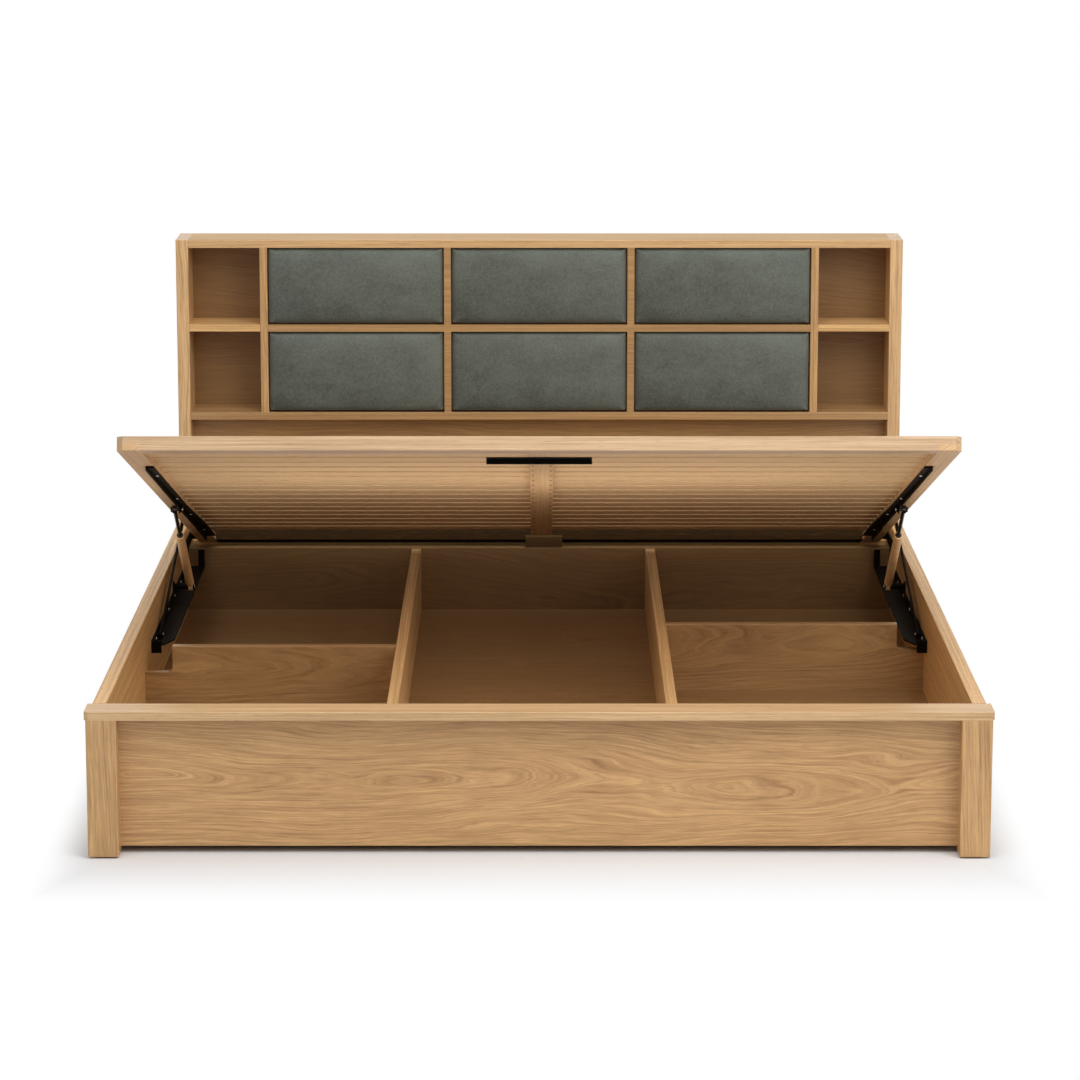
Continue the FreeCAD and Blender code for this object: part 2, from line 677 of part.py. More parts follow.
def stay_arm():
    """Slotted arm between the base bar and the lid; the slot's end stops the lid."""
    pin_closed = math.hypot(stay_pin_y - stay_pivot_y, hinge_z - stay_pivot_z)
    pin_y, pin_z = opened_point(stay_pin_y, hinge_z)
    pin_open = math.hypot(pin_y - stay_pivot_y, pin_z - stay_pivot_z)
    reach = FreeCAD.Vector(0, 1, 0)
    half = stay_arm_height / 2
    end_radius = half + bolt_radius / 2
    bar = slab((-stay_outer_x, -stay_inner_x), (stay_pivot_y, stay_pivot_y + pin_open),
               (stay_pivot_z - half, stay_pivot_z + half))
    slot_half = bolt_radius + stay_slot_gap
    slot_end = pin_open - stay_slot_gap + side_gap
    slot_start = pin_closed
    for distance, radius in ((0, end_radius), (pin_open, end_radius + bolt_radius)):
        bar = bar.fuse(across(-stay_outer_x, -stay_inner_x, stay_pivot_y + distance, stay_pivot_z, radius))
    wide_y = (stay_pivot_y + slot_start - end_radius, stay_pivot_y + pin_open)
    wide_half = end_radius + bolt_radius
    bar = bar.fuse(slab((-stay_outer_x, -stay_inner_x), wide_y,
                        (stay_pivot_z - wide_half, stay_pivot_z + wide_half)))
    slot = slab((-stay_outer_x, -stay_inner_x), (stay_pivot_y + slot_start, stay_pivot_y + slot_end),
                (stay_pivot_z - slot_half, stay_pivot_z + slot_half))
    for distance in (slot_start, slot_end):
        slot = slot.fuse(across(-stay_outer_x, -stay_inner_x, stay_pivot_y + distance, stay_pivot_z, slot_half))
    bore = across(-stay_outer_x, -stay_inner_x, stay_pivot_y, stay_pivot_z, bolt_radius + running_gap)
    arm = bar.cut(slot).cut(bore).removeSplitter()
    rise = math.degrees(math.atan2(pin_z - stay_pivot_z, pin_y - stay_pivot_y))
    arm.rotate(FreeCAD.Vector(0, stay_pivot_y, stay_pivot_z), FreeCAD.Vector(1, 0, 0), rise)
    return arm


def strut_line():
    """Lower pivot, unit direction to the upper pivot, and length of the open strut."""
    top = opened_point(strut_top_y, strut_top_z)
    base = FreeCAD.Vector(-strut_x, strut_base_y, strut_base_z)
    run = FreeCAD.Vector(-strut_x, *top) - base
    length = run.Length
    return base, run.normalize(), length


def gas_tube():
    """Pressure tube with its closed end, guide and lower eye."""
    base, along, _ = strut_line()
    tube = rod_along(base + along * tube_start, along, tube_end - tube_start, tube_radius)
    rim = [edge for edge in tube.Edges if edge.Length > tube_radius and edge.Closed]
    tube = tube.makeFillet(tube_wall, rim)
    cavity_end = tube_end - tube_guide_length
    cavity_start = tube_start + tube_guide_length
    cavity = rod_along(base + along * cavity_start, along, cavity_end - cavity_start, tube_radius - tube_wall)
    guide = rod_along(base + along * cavity_end, along, tube_guide_length, rod_radius + running_gap)
    neck = rod_along(base, along, tube_start + tube_wall, neck_radius)
    half = eye_thickness / 2
    eye = across(-strut_x - half, -strut_x + half, strut_base_y, strut_base_z, eye_radius)
    bore = across(-strut_x - eye_radius, -strut_x + eye_radius, strut_base_y, strut_base_z,
                  bolt_radius + running_gap)
    return tube.cut(cavity).cut(guide).fuse(neck).fuse(eye).cut(bore).removeSplitter()


def gas_rod():
    """Piston rod with its piston, upper eye and the bolt that meets the lid bracket."""
    base, along, length = strut_line()
    top = base + along * length
    piston_start = tube_end - tube_guide_length - piston_margin - piston_length
    rod = rod_along(base + along * piston_start, along, length - piston_start, rod_radius)
    piston = rod_along(base + along * piston_start, along, piston_length, tube_radius - tube_wall - side_gap)
    half = eye_thickness / 2
    eye = across(-strut_x - half, -strut_x + half, top.y, top.z, eye_radius - side_gap * 2)
    shank = across(-strut_x, -bracket_outer_x - side_gap, top.y, top.z, bolt_radius)
    head_x = -strut_x - half
    head = hexagon(head_x - bolt_head_thickness, head_x, top.y, top.z, bolt_head_radius)
    for extra in (piston, eye, shank, head):
        rod = rod.fuse(extra)
    return rod.removeSplitter()


def lift_links():
    """Stay arms, gas tubes and gas rods of both sides."""
    arm = stay_arm()
    add("stay_arms", arm, mirrored(arm))
    add_pair("gas_tube", gas_tube())
    add_pair("gas_rod", gas_rod())


def headboard_frame():
    """Sides, top, shelves, uprights, muntins and panels of the headboard."""
    depth_y = (headboard_front_y, overall_length)
    inner_y = (headboard_front_y, back_panel_front_y)
    inside_x = (-headboard_side_inner_x, headboard_side_inner_x)
    side = slab((-rail_outer_x, -headboard_side_inner_x), depth_y, (glide_thickness, headboard_height))
    add_pair("headboard_side", eased(side, 2))
    top = slab(inside_x, depth_y, (headboard_top_z, headboard_height))
    top = eased(top, 0, keep=lambda middle: middle.z > headboard_top_z + board_edge_radius)
    add("headboard_top", top)
    shelf = slab(inside_x, inner_y, (bottom_shelf_height, bottom_shelf_top_z))
    add("headboard_bottom_shelf", eased(shelf, 0, keep=lambda middle: middle.y < headboard_front_y + muntin_depth))
    column_z = (bottom_shelf_top_z, headboard_top_z)
    upright = slab((-upright_outer_x, -upright_inner_x), inner_y, column_z)
    add_pair("headboard_upright", eased(upright, 2, keep=lambda middle: middle.y < muntin_rear_y))
    muntin_y = (headboard_front_y, muntin_rear_y)
    muntin = slab((-muntin_x - muntin_width / 2, -muntin_x + muntin_width / 2), muntin_y, column_z)
    row_z = (row_shelf_height, row_shelf_top_z)
    cross = [slab((x, x + pad_opening), muntin_y, row_z) for x in pad_column_x()]
    add("headboard_muntins", muntin, mirrored(muntin), *cross)
    niche = slab((-headboard_side_inner_x, -upright_outer_x), inner_y, row_z)
    niche = eased(niche, 0, keep=lambda middle: middle.y < muntin_rear_y)
    add("niche_shelves", niche, mirrored(niche))
    back_z = (bottom_shelf_height, headboard_top_z)
    add("headboard_back_panel", slab(inside_x, (back_panel_front_y, back_panel_rear_y), back_z))
    lower_y = headboard_front_y + lower_panel_recess
    lower = slab(inside_x, (lower_y, lower_y + lower_panel_thickness), (rail_floor_gap, bottom_shelf_height))
    add("headboard_lower_panel", lower)
    rail_z = (lower_rail_floor_gap, lower_rail_floor_gap + lower_rail_height)
    add("headboard_lower_rail",
        slab(inside_x, (headboard_front_y, headboard_front_y + lower_rail_thickness), rail_z))


def pad_column_x():
    """Left edge of each of the three pad openings."""
    step = pad_opening + muntin_width
    return [-upright_inner_x + column * step for column in range(3)]


def pad_rows():
    """Name and height limits of the two pad rows."""
    return (("lower", bottom_shelf_top_z, row_shelf_height), ("upper", row_shelf_top_z, headboard_top_z))


def pad_outline(centre, half_x, half_z, y, radius, draw_in):
    """Closed outline of a pad at one depth: corners rounded, sides slightly drawn in."""
    edges = []
    cx, cz = centre
    flat_x, flat_z = half_x - radius, half_z - radius
    bow = radius * (1 - math.sqrt(1 / 2))

    def point(x, z):
        return FreeCAD.Vector(cx + x, y, cz + z)

    sides = [((-flat_x, half_z), (0, half_z - draw_in), (flat_x, half_z)),
             ((flat_x, half_z), (half_x - bow, half_z - bow), (half_x, flat_z)),
             ((half_x, flat_z), (half_x - draw_in, 0), (half_x, -flat_z)),
             ((half_x, -flat_z), (half_x - bow, bow - half_z), (flat_x, -half_z)),
             ((flat_x, -half_z), (0, draw_in - half_z), (-flat_x, -half_z)),
             ((-flat_x, -half_z), (bow - half_x, bow - half_z), (-half_x, -flat_z)),
             ((-half_x, -flat_z), (draw_in - half_x, 0), (-half_x, flat_z)),
             ((-half_x, flat_z), (bow - half_x, half_z - bow), (-flat_x, half_z))]
    for start, middle, end in sides:
        edges.append(Part.Arc(point(*start), point(*middle), point(*end)).toShape())
    return Part.Wire(edges)


def pad(x_low, z_low, z_high):
    """Upholstered pad with a crowned face, lofted through outlines from its back to its front."""
    half_x = pad_opening / 2 - pad_gap
    half_z = (z_high - z_low) / 2 - pad_gap
    centre = (x_low + pad_opening / 2, (z_low + z_high) / 2)
    thickness = backing_front_y - headboard_front_y + pad_proud
    wires = []
    for depth_share, inset_share in zip(pad_depth_shares, pad_inset_shares):
        inset = pad_back_inset * inset_share
        y = backing_front_y - thickness * depth_share
        radius = pad_corner_radius + inset / 3
        wires.append(pad_outline(centre, half_x - inset, half_z - inset, y, radius, pad_draw_in))
    return Part.makeLoft(wires, True, True)


def pads():
    """Six pads and the boards behind them."""
    backings = []
    for row, z_low, z_high in pad_rows():
        for column, x_low in zip(("left", "centre", "right"), pad_column_x()):
            add("pad_" + row + "_" + column, pad(x_low, z_low, z_high))
            backing_y = (backing_front_y, muntin_rear_y)
            backings.append(slab((x_low, x_low + pad_opening), backing_y, (z_low, z_high)))
    add("pad_backing_boards", *backings)


def build():
    """Makes every sub-part in the bed's own place."""
    footboard()
    box_sides()
    dividers()
    rest_block()
    box_floor()
    glides()
    corners()
    lift_base()
    lid_members()
    slats()
    centre_beam()
    pull()
    lid_steel()
    lift_links()
    headboard_frame()
    pads()


def export():
    """Centres the bed on its length and writes one file per sub-part."""
    os.makedirs("parts", exist_ok=True)
    for name, shape in parts.items():
        shape = shape.copy()
        shape.translate(FreeCAD.Vector(0, -overall_length / 2, 0))
        if not shape.isValid():
            print("invalid", name)
        shape.exportStep("parts/" + name + ".step")
        print(name, len(shape.Solids), round(shape.Volume / 1e6, 3))


def report_motion():
    """Prints the pivots and ratios that the lift's geometry gives."""
    turn = math.radians(open_angle)
    base, along, length = strut_line()
    closed = strut_closed_length
    open_rise = math.atan2(along.z, along.y)
    closed_rise = math.atan2(strut_top_z - strut_base_z, strut_top_y - strut_base_y)
    pin_y, pin_z = opened_point(stay_pin_y, hinge_z)
    stay_open = math.atan2(pin_z - stay_pivot_z, pin_y - stay_pivot_y)
    stay_closed = math.atan2(hinge_z - stay_pivot_z, stay_pin_y - stay_pivot_y)
    middle = overall_length / 2
    print("hinge", hinge_y - middle, hinge_z)
    print("strut base", base.y - middle, base.z, "direction", along.y, along.z)
    print("strut length open and closed", length, closed, "ratio mm per rad", (length - closed) / turn)
    print("strut turn ratio", (closed_rise - open_rise) / turn)
    print("stay pivot", stay_pivot_y - middle, stay_pivot_z, "turn ratio", -(stay_open - stay_closed) / turn)


build()
export()
report_motion()
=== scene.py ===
"""Storage bed with a lifted slatted lid and an upholstered headboard.

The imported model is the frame. This scene gives each of its boards, steels and slats a finish, makes the
six headboard pads as stuffed fabric, and adds the small fasteners that the frame leaves out.
"""

from __future__ import annotations

import logging
import math
from dataclasses import dataclass, field, replace
from enum import Enum
from typing import Any

import bmesh
import bpy
from mathutils import Euler, Matrix, Vector

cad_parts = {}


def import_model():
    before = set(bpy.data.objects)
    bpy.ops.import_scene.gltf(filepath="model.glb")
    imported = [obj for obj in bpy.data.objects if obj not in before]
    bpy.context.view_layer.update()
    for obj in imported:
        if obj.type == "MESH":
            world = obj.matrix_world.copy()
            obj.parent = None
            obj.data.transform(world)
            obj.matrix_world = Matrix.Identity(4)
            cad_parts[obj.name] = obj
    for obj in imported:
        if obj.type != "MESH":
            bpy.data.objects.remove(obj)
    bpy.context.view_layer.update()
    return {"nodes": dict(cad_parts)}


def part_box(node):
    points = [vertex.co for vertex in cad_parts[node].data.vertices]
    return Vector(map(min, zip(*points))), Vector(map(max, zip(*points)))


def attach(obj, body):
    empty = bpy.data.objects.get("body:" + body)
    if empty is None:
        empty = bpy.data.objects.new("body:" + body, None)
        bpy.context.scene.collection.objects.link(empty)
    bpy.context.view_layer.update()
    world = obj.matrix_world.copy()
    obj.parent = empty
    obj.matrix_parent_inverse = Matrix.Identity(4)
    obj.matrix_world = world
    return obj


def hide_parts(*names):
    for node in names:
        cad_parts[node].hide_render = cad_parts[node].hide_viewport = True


LOG = logging.getLogger("storage_bed")

Colour = tuple[float, float, float, float]
Triple = tuple[float, float, float]

LID_ANGLE = math.radians(16.7)
LID_ALONG: Triple = (0.0, math.cos(LID_ANGLE), -math.sin(LID_ANGLE))
LID_UP: Triple = (0.0, math.sin(LID_ANGLE), math.cos(LID_ANGLE))
LID_HINGE = Vector((0.0, 0.9475, 0.276))
PORE_BROWN: Colour = (0.20, 0.095, 0.036, 1.0)
PORE_BAND = (0.58, 0.74)
PORE_WAVES: Triple = (26.0, 900.0, 900.0)
SWAY_WAVES: Triple = (0.9, 3.0, 3.0)
SWELL_WAVES: Triple = (2.1, 7.0, 7.0)
RIPPLE_WAVES: Triple = (5.0, 42.0, 42.0)
CLOUD_WAVES: Triple = (1.3, 6.0, 6.0)
BRUSH_WAVES: Triple = (9.0, 9.0, 14.0)
RING_STOPS = ((0.0, 0.24), (0.10, 0.0), (0.66, 0.08), (0.88, 0.90), (1.0, 0.24))


class Body(Enum):
    """Bodies of the frame that a piece can ride on."""

    ROOT = "root"
    LID = "lid"
    TUBES = "gas_tubes"


class Slot(Enum):
    """Material slots of the record."""

    UPHOLSTERY = "upholstery"
    ZINC = "zinc_steel"
    BLACK = "black_steel"


class Lay(Enum):
    """Direction of a board's grain and the way that its broad face looks."""

    X_FACE_Y = ((1.0, 0.0, 0.0), (0.0, 1.0, 0.0))
    X_FACE_Z = ((1.0, 0.0, 0.0), (0.0, 0.0, 1.0))
    Y_FACE_X = ((0.0, 1.0, 0.0), (1.0, 0.0, 0.0))
    Z_FACE_X = ((0.0, 0.0, 1.0), (1.0, 0.0, 0.0))
    Z_FACE_Y = ((0.0, 0.0, 1.0), (0.0, 1.0, 0.0))
    LID_ACROSS = ((1.0, 0.0, 0.0), LID_UP)
    LID_LENGTH = (LID_ALONG, LID_UP)

    def turn(self) -> Matrix:
        """Rotation that takes the board's grain to X, its width to Y and its face to Z."""
        grain, face = (Vector(direction) for direction in self.value)
        return Matrix((grain, face.cross(grain), face))


class Value:
    """A number in a shader tree, so that shader maths reads as Python."""

    def __init__(self, tree: NodeGraph, socket: bpy.types.NodeSocket) -> None:
        """Keeps the tree and the socket that carries the number."""
        self.tree = tree
        self.socket = socket

    def __add__(self, other: Value | float) -> Value:
        """Sum."""
        return self.tree.maths("ADD", self, other)

    def __sub__(self, other: Value | float) -> Value:
        """Difference."""
        return self.tree.maths("SUBTRACT", self, other)

    def __mul__(self, other: Value | float) -> Value:
        """Product."""
        return self.tree.maths("MULTIPLY", self, other)

    def __truediv__(self, other: Value | float) -> Value:
        """Quotient."""
        return self.tree.maths("DIVIDE", self, other)


class NodeGraph:
    """Node tree of a material or of the world, started empty."""

    def __init__(self, owner: bpy.types.Material | bpy.types.World) -> None:
        """Clears the owner's tree.

        Args:
            owner: Material or world whose tree is built.
        """
        owner.use_nodes = True
        self.tree = owner.node_tree
        self.tree.nodes.clear()

    def node(self, kind: str, settings: dict[str, Any] | None = None,
             inputs: dict[str | int, Any] | None = None) -> bpy.types.Node:
        """Adds a node.

        Args:
            kind: Type of the node.
            settings: Its properties, with a ramp's colours and places under "stops".
            inputs: Values or links of its sockets, by name or by number.

        Returns:
            The new node.
        """
        made = self.tree.nodes.new(kind)
        for key, value in (settings or {}).items():
            if key == "stops":
                made.color_ramp.elements.remove(made.color_ramp.elements[1])
                made.color_ramp.elements[0].position = value[0][0]
                made.color_ramp.elements[0].color = value[0][1]
                for place, colour in value[1:]:
                    made.color_ramp.elements.new(place).color = colour
            else:
                setattr(made, key, value)
        self.feed(made, inputs or {})
        return made

    def feed(self, made: bpy.types.Node, inputs: dict[str | int, Any]) -> None:
        """Sets or links the sockets of a node.

        Args:
            made: Node to feed.
            inputs: Values or links of its sockets, by name or by number.
        """
        for key, value in inputs.items():
            source = value.socket if isinstance(value, Value) else value
            if isinstance(source, bpy.types.NodeSocket):
                self.tree.links.new(source, made.inputs[key])
            else:
                made.inputs[key].default_value = source

    def maths(self, operation: str, *values: Value | float) -> Value:
        """Adds a Math node.

        Args:
            operation: What the node does.
            values: Its inputs, in order.

        Returns:
            The result.
        """
        made = self.node("ShaderNodeMath", {"operation": operation}, dict(enumerate(values)))
        return Value(self, made.outputs["Value"])

    def place(self) -> bpy.types.NodeSocket:
        """Object coordinates, in metres."""
        return self.node("ShaderNodeTexCoord").outputs["Object"]

    def axes(self, vector: bpy.types.NodeSocket) -> tuple[Value, Value, Value]:
        """The three coordinates of a vector."""
        parts = self.node("ShaderNodeSeparateXYZ", inputs={"Vector": vector}).outputs
        return Value(self, parts["X"]), Value(self, parts["Y"]), Value(self, parts["Z"])

    def vector(self, x: Value | float, y: Value | float, z: Value | float) -> bpy.types.NodeSocket:
        """A vector of three coordinates."""
        return self.node("ShaderNodeCombineXYZ", inputs={"X": x, "Y": y, "Z": z}).outputs["Vector"]

    def mapped(self, vector: bpy.types.NodeSocket, scale: Triple = (1.0, 1.0, 1.0),
               shift: Triple = (0.0, 0.0, 0.0), turn: Euler | None = None) -> bpy.types.NodeSocket:
        """Scales, turns and shifts coordinates.

        Args:
            vector: Coordinates to change.
            scale: Factor along each axis.
            shift: Distance added along each axis.
            turn: Rotation between the two.

        Returns:
            The new coordinates.
        """
        inputs = {"Vector": vector, "Scale": scale, "Location": shift, "Rotation": turn or Euler()}
        return self.node("ShaderNodeMapping", {"vector_type": "POINT"}, inputs).outputs["Vector"]

    def noise(self, vector: bpy.types.NodeSocket, scale: float = 1.0, detail: float = 2.0,
              rough: float = 0.5) -> Value:
        """Soft noise between 0 and 1.

        Args:
            vector: Coordinates.
            scale: Waves per unit of length.
            detail: Finer layers that are added.
            rough: Strength of the finer layers.

        Returns:
            The noise.
        """
        inputs = {"Vector": vector, "Scale": scale, "Detail": detail, "Roughness": rough}
        return Value(self, self.node("ShaderNodeTexNoise", inputs=inputs).outputs[0])

    def dice(self, value: Value) -> Value:
        """A random number between 0 and 1 for each value."""
        made = self.node("ShaderNodeTexWhiteNoise", {"noise_dimensions": "1D"}, {"W": value})
        return Value(self, made.outputs["Value"])

    def band(self, value: Value, low: float, high: float) -> Value:
        """Smooth step from 0 at low to 1 at high."""
        made = self.node("ShaderNodeMapRange", {"interpolation_type": "SMOOTHSTEP"},
                         {"Value": value, "From Min": low, "From Max": high})
        return Value(self, made.outputs["Result"])

    def clamped(self, value: Value) -> Value:
        """The value, kept between 0 and 1."""
        return self.maths("MINIMUM", self.maths("MAXIMUM", value, 0.0), 1.0)

    def profile(self, value: Value, stops: tuple[tuple[float, float], ...]) -> Value:
        """A number read from a curve of given stops."""
        shades = tuple((place, (height, height, height, 1.0)) for place, height in stops)
        made = self.node("ShaderNodeValToRGB", {"stops": shades}, {"Fac": value})
        return Value(self, made.outputs["Color"])

    def blend(self, share: Value | float, first: Any, second: Any) -> bpy.types.NodeSocket:
        """Mixes two colours.

        Args:
            share: Part of the second colour.
            first: Colour or link.
            second: Colour or link.

        Returns:
            The mixed colour.
        """
        made = self.node("ShaderNodeMix", {"data_type": "RGBA"}, {0: share, 6: first, 7: second})
        return made.outputs[2]


class Surface(NodeGraph):
    """Material of a piece, with one Principled shader."""

    def __init__(self, name: str) -> None:
        """Starts the material.

        Args:
            name: Name of the material.
        """
        self.material = bpy.data.materials.new(name)
        super().__init__(self.material)
        self.shader = self.node("ShaderNodeBsdfPrincipled")
        self.node("ShaderNodeOutputMaterial", inputs={"Surface": self.shader.outputs["BSDF"]})

    def finish(self, colour: Any, rough: Value | float, height: Value | None = None,
               bump: float = 0.1, depth: float = 0.001, **fixed: float) -> bpy.types.Material:
        """Sets the Principled shader.

        Args:
            colour: Base colour.
            rough: Roughness.
            height: Relief that feeds the bump.
            bump: Strength of the bump.
            depth: Distance of the bump, in metres.
            fixed: Plain numbers for other sockets, with _ for a space.

        Returns:
            The finished material.
        """
        wanted = {"Base Color": colour, "Roughness": rough}
        if height is not None:
            relief = self.node("ShaderNodeBump",
                               inputs={"Strength": bump, "Distance": depth, "Height": height})
            wanted["Normal"] = relief.outputs["Normal"]
        for key, value in fixed.items():
            wanted[key.replace("_", " ").title().replace("Ior", "IOR")] = value
        self.feed(self.shader, wanted)
        return self.material


@dataclass(frozen=True)
class OakFinish:
    """Oiled oak, cut so that its rings show as arches or as straight lines."""

    light: Colour = (0.680, 0.415, 0.180, 1.0)
    dark: Colour = (0.300, 0.145, 0.047, 1.0)
    ring_gap: float = 0.0065
    pith_depth: float = 0.055
    pith_offset: float = 0.0
    pith_slope: float = 0.035
    wander: float = 0.16
    waver: float = 0.006
    grain_length: float = 1.0
    ring_share: float = 0.30
    streak_share: float = 1.5
    thread_share: float = 1.1
    cloud_share: float = 0.45
    pore_share: float = 0.36
    tone_shift: float = 0.36
    roughness: float = 0.44
    coat: float = 0.30
    gloss: float = 0.5
    strip_pitch: float = 0.0
    strip_start: float = 0.0
    strip_half: float = 0.0
    strip_tone: float = 0.16
    strip_jump: float = 31.0
    # Painted shade: darkens each slat's edges to stand in for the shadow in the gaps between slats.
    painted_gap_shade: float = 0.45
    painted_gap_shade_insets: tuple[float, float] = (0.0060, 0.0010)
    # Painted shade: a board whose colours stand in for shadow keeps plain oak only on its top face, above this
    # height.
    unshaded_top_height: float = 0.0
    unshaded_top_insets: tuple[float, float] = (0.0025, 0.0005)
    unshaded_top_light: Colour = (0.700, 0.478, 0.276, 1.0)
    unshaded_top_dark: Colour = (0.350, 0.200, 0.098, 1.0)

    def strips(self, tree: Surface, board: bpy.types.NodeSocket, seed: float) -> tuple[Value | float, Any]:
        """Gives each slat of a set its own tone, painted gap shade along its edges and its own place in the
        tree's figure.

        Args:
            tree: Material that is being made.
            board: Coordinates on the board.
            seed: Number that gives the set its own figure.

        Returns:
            The tone and the painted gap shade that each slat adds, and the moved coordinates.
        """
        if not self.strip_pitch:
            return 0.0, board
        place = (tree.axes(board)[1] - self.strip_start) / self.strip_pitch
        chance = tree.dice(tree.maths("FLOOR", place) + seed)
        from_middle = tree.maths("ABSOLUTE", tree.maths("FRACT", place) - 0.5) * self.strip_pitch
        # Painted shade along the slat's edges, standing in for the shadow in the gaps.
        painted_gap_shade_mask = tree.band(from_middle, *(self.strip_half - inset for inset in self.painted_gap_shade_insets))
        push = tree.vector(chance * self.strip_jump, 0.0, 0.0)
        moved = tree.node("ShaderNodeVectorMath", {"operation": "ADD"}, {0: board, 1: push})
        return (chance - 0.5) * self.strip_tone + painted_gap_shade_mask * self.painted_gap_shade, moved.outputs["Vector"]

    def material(self, name: str, lay: Lay, centre: Vector, seed: float) -> bpy.types.Material:
        """Makes the finish for one board.

        Args:
            name: Name of the material.
            lay: Direction of the grain and the broad face.
            centre: Middle of the board.
            seed: Number that gives the board its own figure.

        Returns:
            The material.
        """
        tree = Surface(name)
        turn = lay.turn()
        board = tree.mapped(tree.place(), shift=tuple(-(turn @ centre)), turn=turn.to_euler())
        # The slats' own tones, with painted gap shade at their edges.
        slat_tone_and_painted_gap_shade, board = self.strips(tree, board, seed)
        along, across, deep = tree.axes(board)
        sway = tree.noise(tree.mapped(board, SWAY_WAVES, (seed, seed, 1.0)), 1.0, 1.5, 0.45) - 0.5
        swell = tree.noise(tree.mapped(board, SWELL_WAVES, (seed, 4.0, seed)), 1.0, 2.0, 0.5) - 0.5
        ripple = tree.noise(tree.mapped(board, RIPPLE_WAVES, (9.0, seed, seed)), 1.0, 3.0, 0.6) - 0.5
        side = across + sway * self.wander + self.pith_offset
        depth = deep + swell * (self.wander * 0.6) + along * self.pith_slope + self.pith_depth
        reach = tree.maths("SQRT", side * side + depth * depth)
        rings = (reach + ripple * (self.ring_gap * 1.7)) / self.ring_gap
        late = tree.profile(tree.maths("FRACT", rings), RING_STOPS)
        figure = late * (tree.dice(tree.maths("FLOOR", rings) + seed) * 0.8 + 0.2)
        waves = reach + ripple * self.waver
        run = along / self.grain_length
        streak = tree.noise(tree.vector(run * 2.8 + seed, waves * 270.0, seed), 1.0, 5.0, 0.74) - 0.5
        fibres = tree.vector(run * 10.0 - seed, waves * 430.0, deep * 40.0)
        thread = tree.noise(fibres, 1.0, 2.5, 0.65) - 0.5
        cloud = tree.noise(tree.mapped(board, CLOUD_WAVES, (30.0, seed, seed)), 1.0, 2.0, 0.5) - 0.5
        pores = tree.band(tree.noise(tree.mapped(board, PORE_WAVES), 1.0, 1.0, 0.5), *PORE_BAND)
        tone = figure * self.ring_share + streak * self.streak_share + thread * self.thread_share
        tone = tone + cloud * self.cloud_share + slat_tone_and_painted_gap_shade + self.tone_shift
        share = tree.clamped(tone)
        wood = tree.blend(share, self.light, self.dark)
        # Painted shade below the top face; only the top face gets the plain oak colours.
        if self.unshaded_top_height:
            unshaded_top_mask = tree.band(deep, *(self.unshaded_top_height - inset for inset in self.unshaded_top_insets))
            wood = tree.blend(unshaded_top_mask, wood, tree.blend(share, self.unshaded_top_light, self.unshaded_top_dark))
        wood = tree.blend(pores * self.pore_share, wood, PORE_BROWN)
        rough = thread * 0.14 + pores * 0.12 + self.roughness
        relief = thread * 0.5 - pores * 0.8 - figure * 0.25
        return tree.finish(wood, rough, relief, 0.22, 0.0006, coat_weight=self.coat, coat_roughness=0.24,
                           specular_ior_level=self.gloss)


@dataclass(frozen=True)
class SuedeFinish:
    """Brushed grey-green suede of the headboard pads."""

    light: Colour = (0.172, 0.192, 0.165, 1.0)
    dark: Colour = (0.070, 0.076, 0.063, 1.0)
    middle_tone: float = 0.50
    brushed_share: float = 0.9
    mottled_share: float = 1.3
    nap_share: float = 0.9
    # Painted light and shade: how much the fabric's tone lightens toward the top and toward the right.
    painted_top_light_share: float = 0.23
    painted_right_light_share: float = 0.16

    def material(self, name: str, seed: float, centre: Vector, size: Vector) -> bpy.types.Material:
        """Makes the fabric, with painted light and shade that runs from a light top and right to a dark foot
        and left.

        Args:
            name: Name of the material.
            seed: Number that gives the pad its own brush marks.
            centre: Middle of the pad.
            size: Size of the pad.

        Returns:
            The material.
        """
        tree = Surface(name)
        place = tree.place()
        across, _, upward = tree.axes(place)
        painted_right_light = (across - centre.x) / (size.x / 2)
        painted_top_light = (upward - centre.z) / (size.z / 2)
        cloth = tree.mapped(place, shift=(seed * 5.3, 0.0, seed * 2.9))
        brushed = tree.noise(tree.mapped(cloth, BRUSH_WAVES), 1.0, 3.0, 0.6)
        mottled = tree.noise(cloth, 170.0, 4.0, 0.70)
        nap = tree.noise(cloth, 620.0, 2.0, 0.6)
        marks = (brushed - 0.5) * self.brushed_share + (mottled - 0.5) * self.mottled_share
        grain = marks + (nap - 0.5) * self.nap_share
        # Painted light and shade: lighter toward the top and the right, darker toward the foot and the left,
        # where the upright shades the pads.
        tone = grain + painted_top_light * self.painted_top_light_share + painted_right_light * self.painted_right_light_share + self.middle_tone
        share = tree.clamped(tone)
        colour = tree.blend(share, self.dark, self.light)
        relief = nap * 0.7 + mottled * 0.6
        return tree.finish(colour, nap * 0.1 + 0.84, relief, 0.35, 0.0012, sheen_weight=0.45,
                           sheen_roughness=0.40, specular_ior_level=0.25)


@dataclass(frozen=True)
class SteelFinish:
    """Painted, plated or bare steel, and the plain rubber of the seals."""

    colour: Colour
    worn: Colour
    metallic: float = 0.0
    roughness: float = 0.42
    grain: float = 240.0
    relief: float = 0.12
    coat: float = 0.0
    gloss: float = 0.5

    def material(self, name: str) -> bpy.types.Material:
        """Makes the steel.

        Args:
            name: Name of the material.

        Returns:
            The material.
        """
        tree = Surface(name)
        place = tree.place()
        peel = tree.noise(place, self.grain * 4.0, 2.0, 0.55)
        rubbed = tree.noise(place, self.grain * 0.35, 4.0, 0.65)
        colour = tree.blend(tree.band(rubbed, 0.52, 0.80), self.colour, self.worn)
        rough = rubbed * 0.16 + (peel * 0.08 + (self.roughness - 0.12))
        return tree.finish(colour, rough, peel, self.relief, 0.0004, metallic=self.metallic,
                           coat_weight=self.coat, coat_roughness=0.25, specular_ior_level=self.gloss)


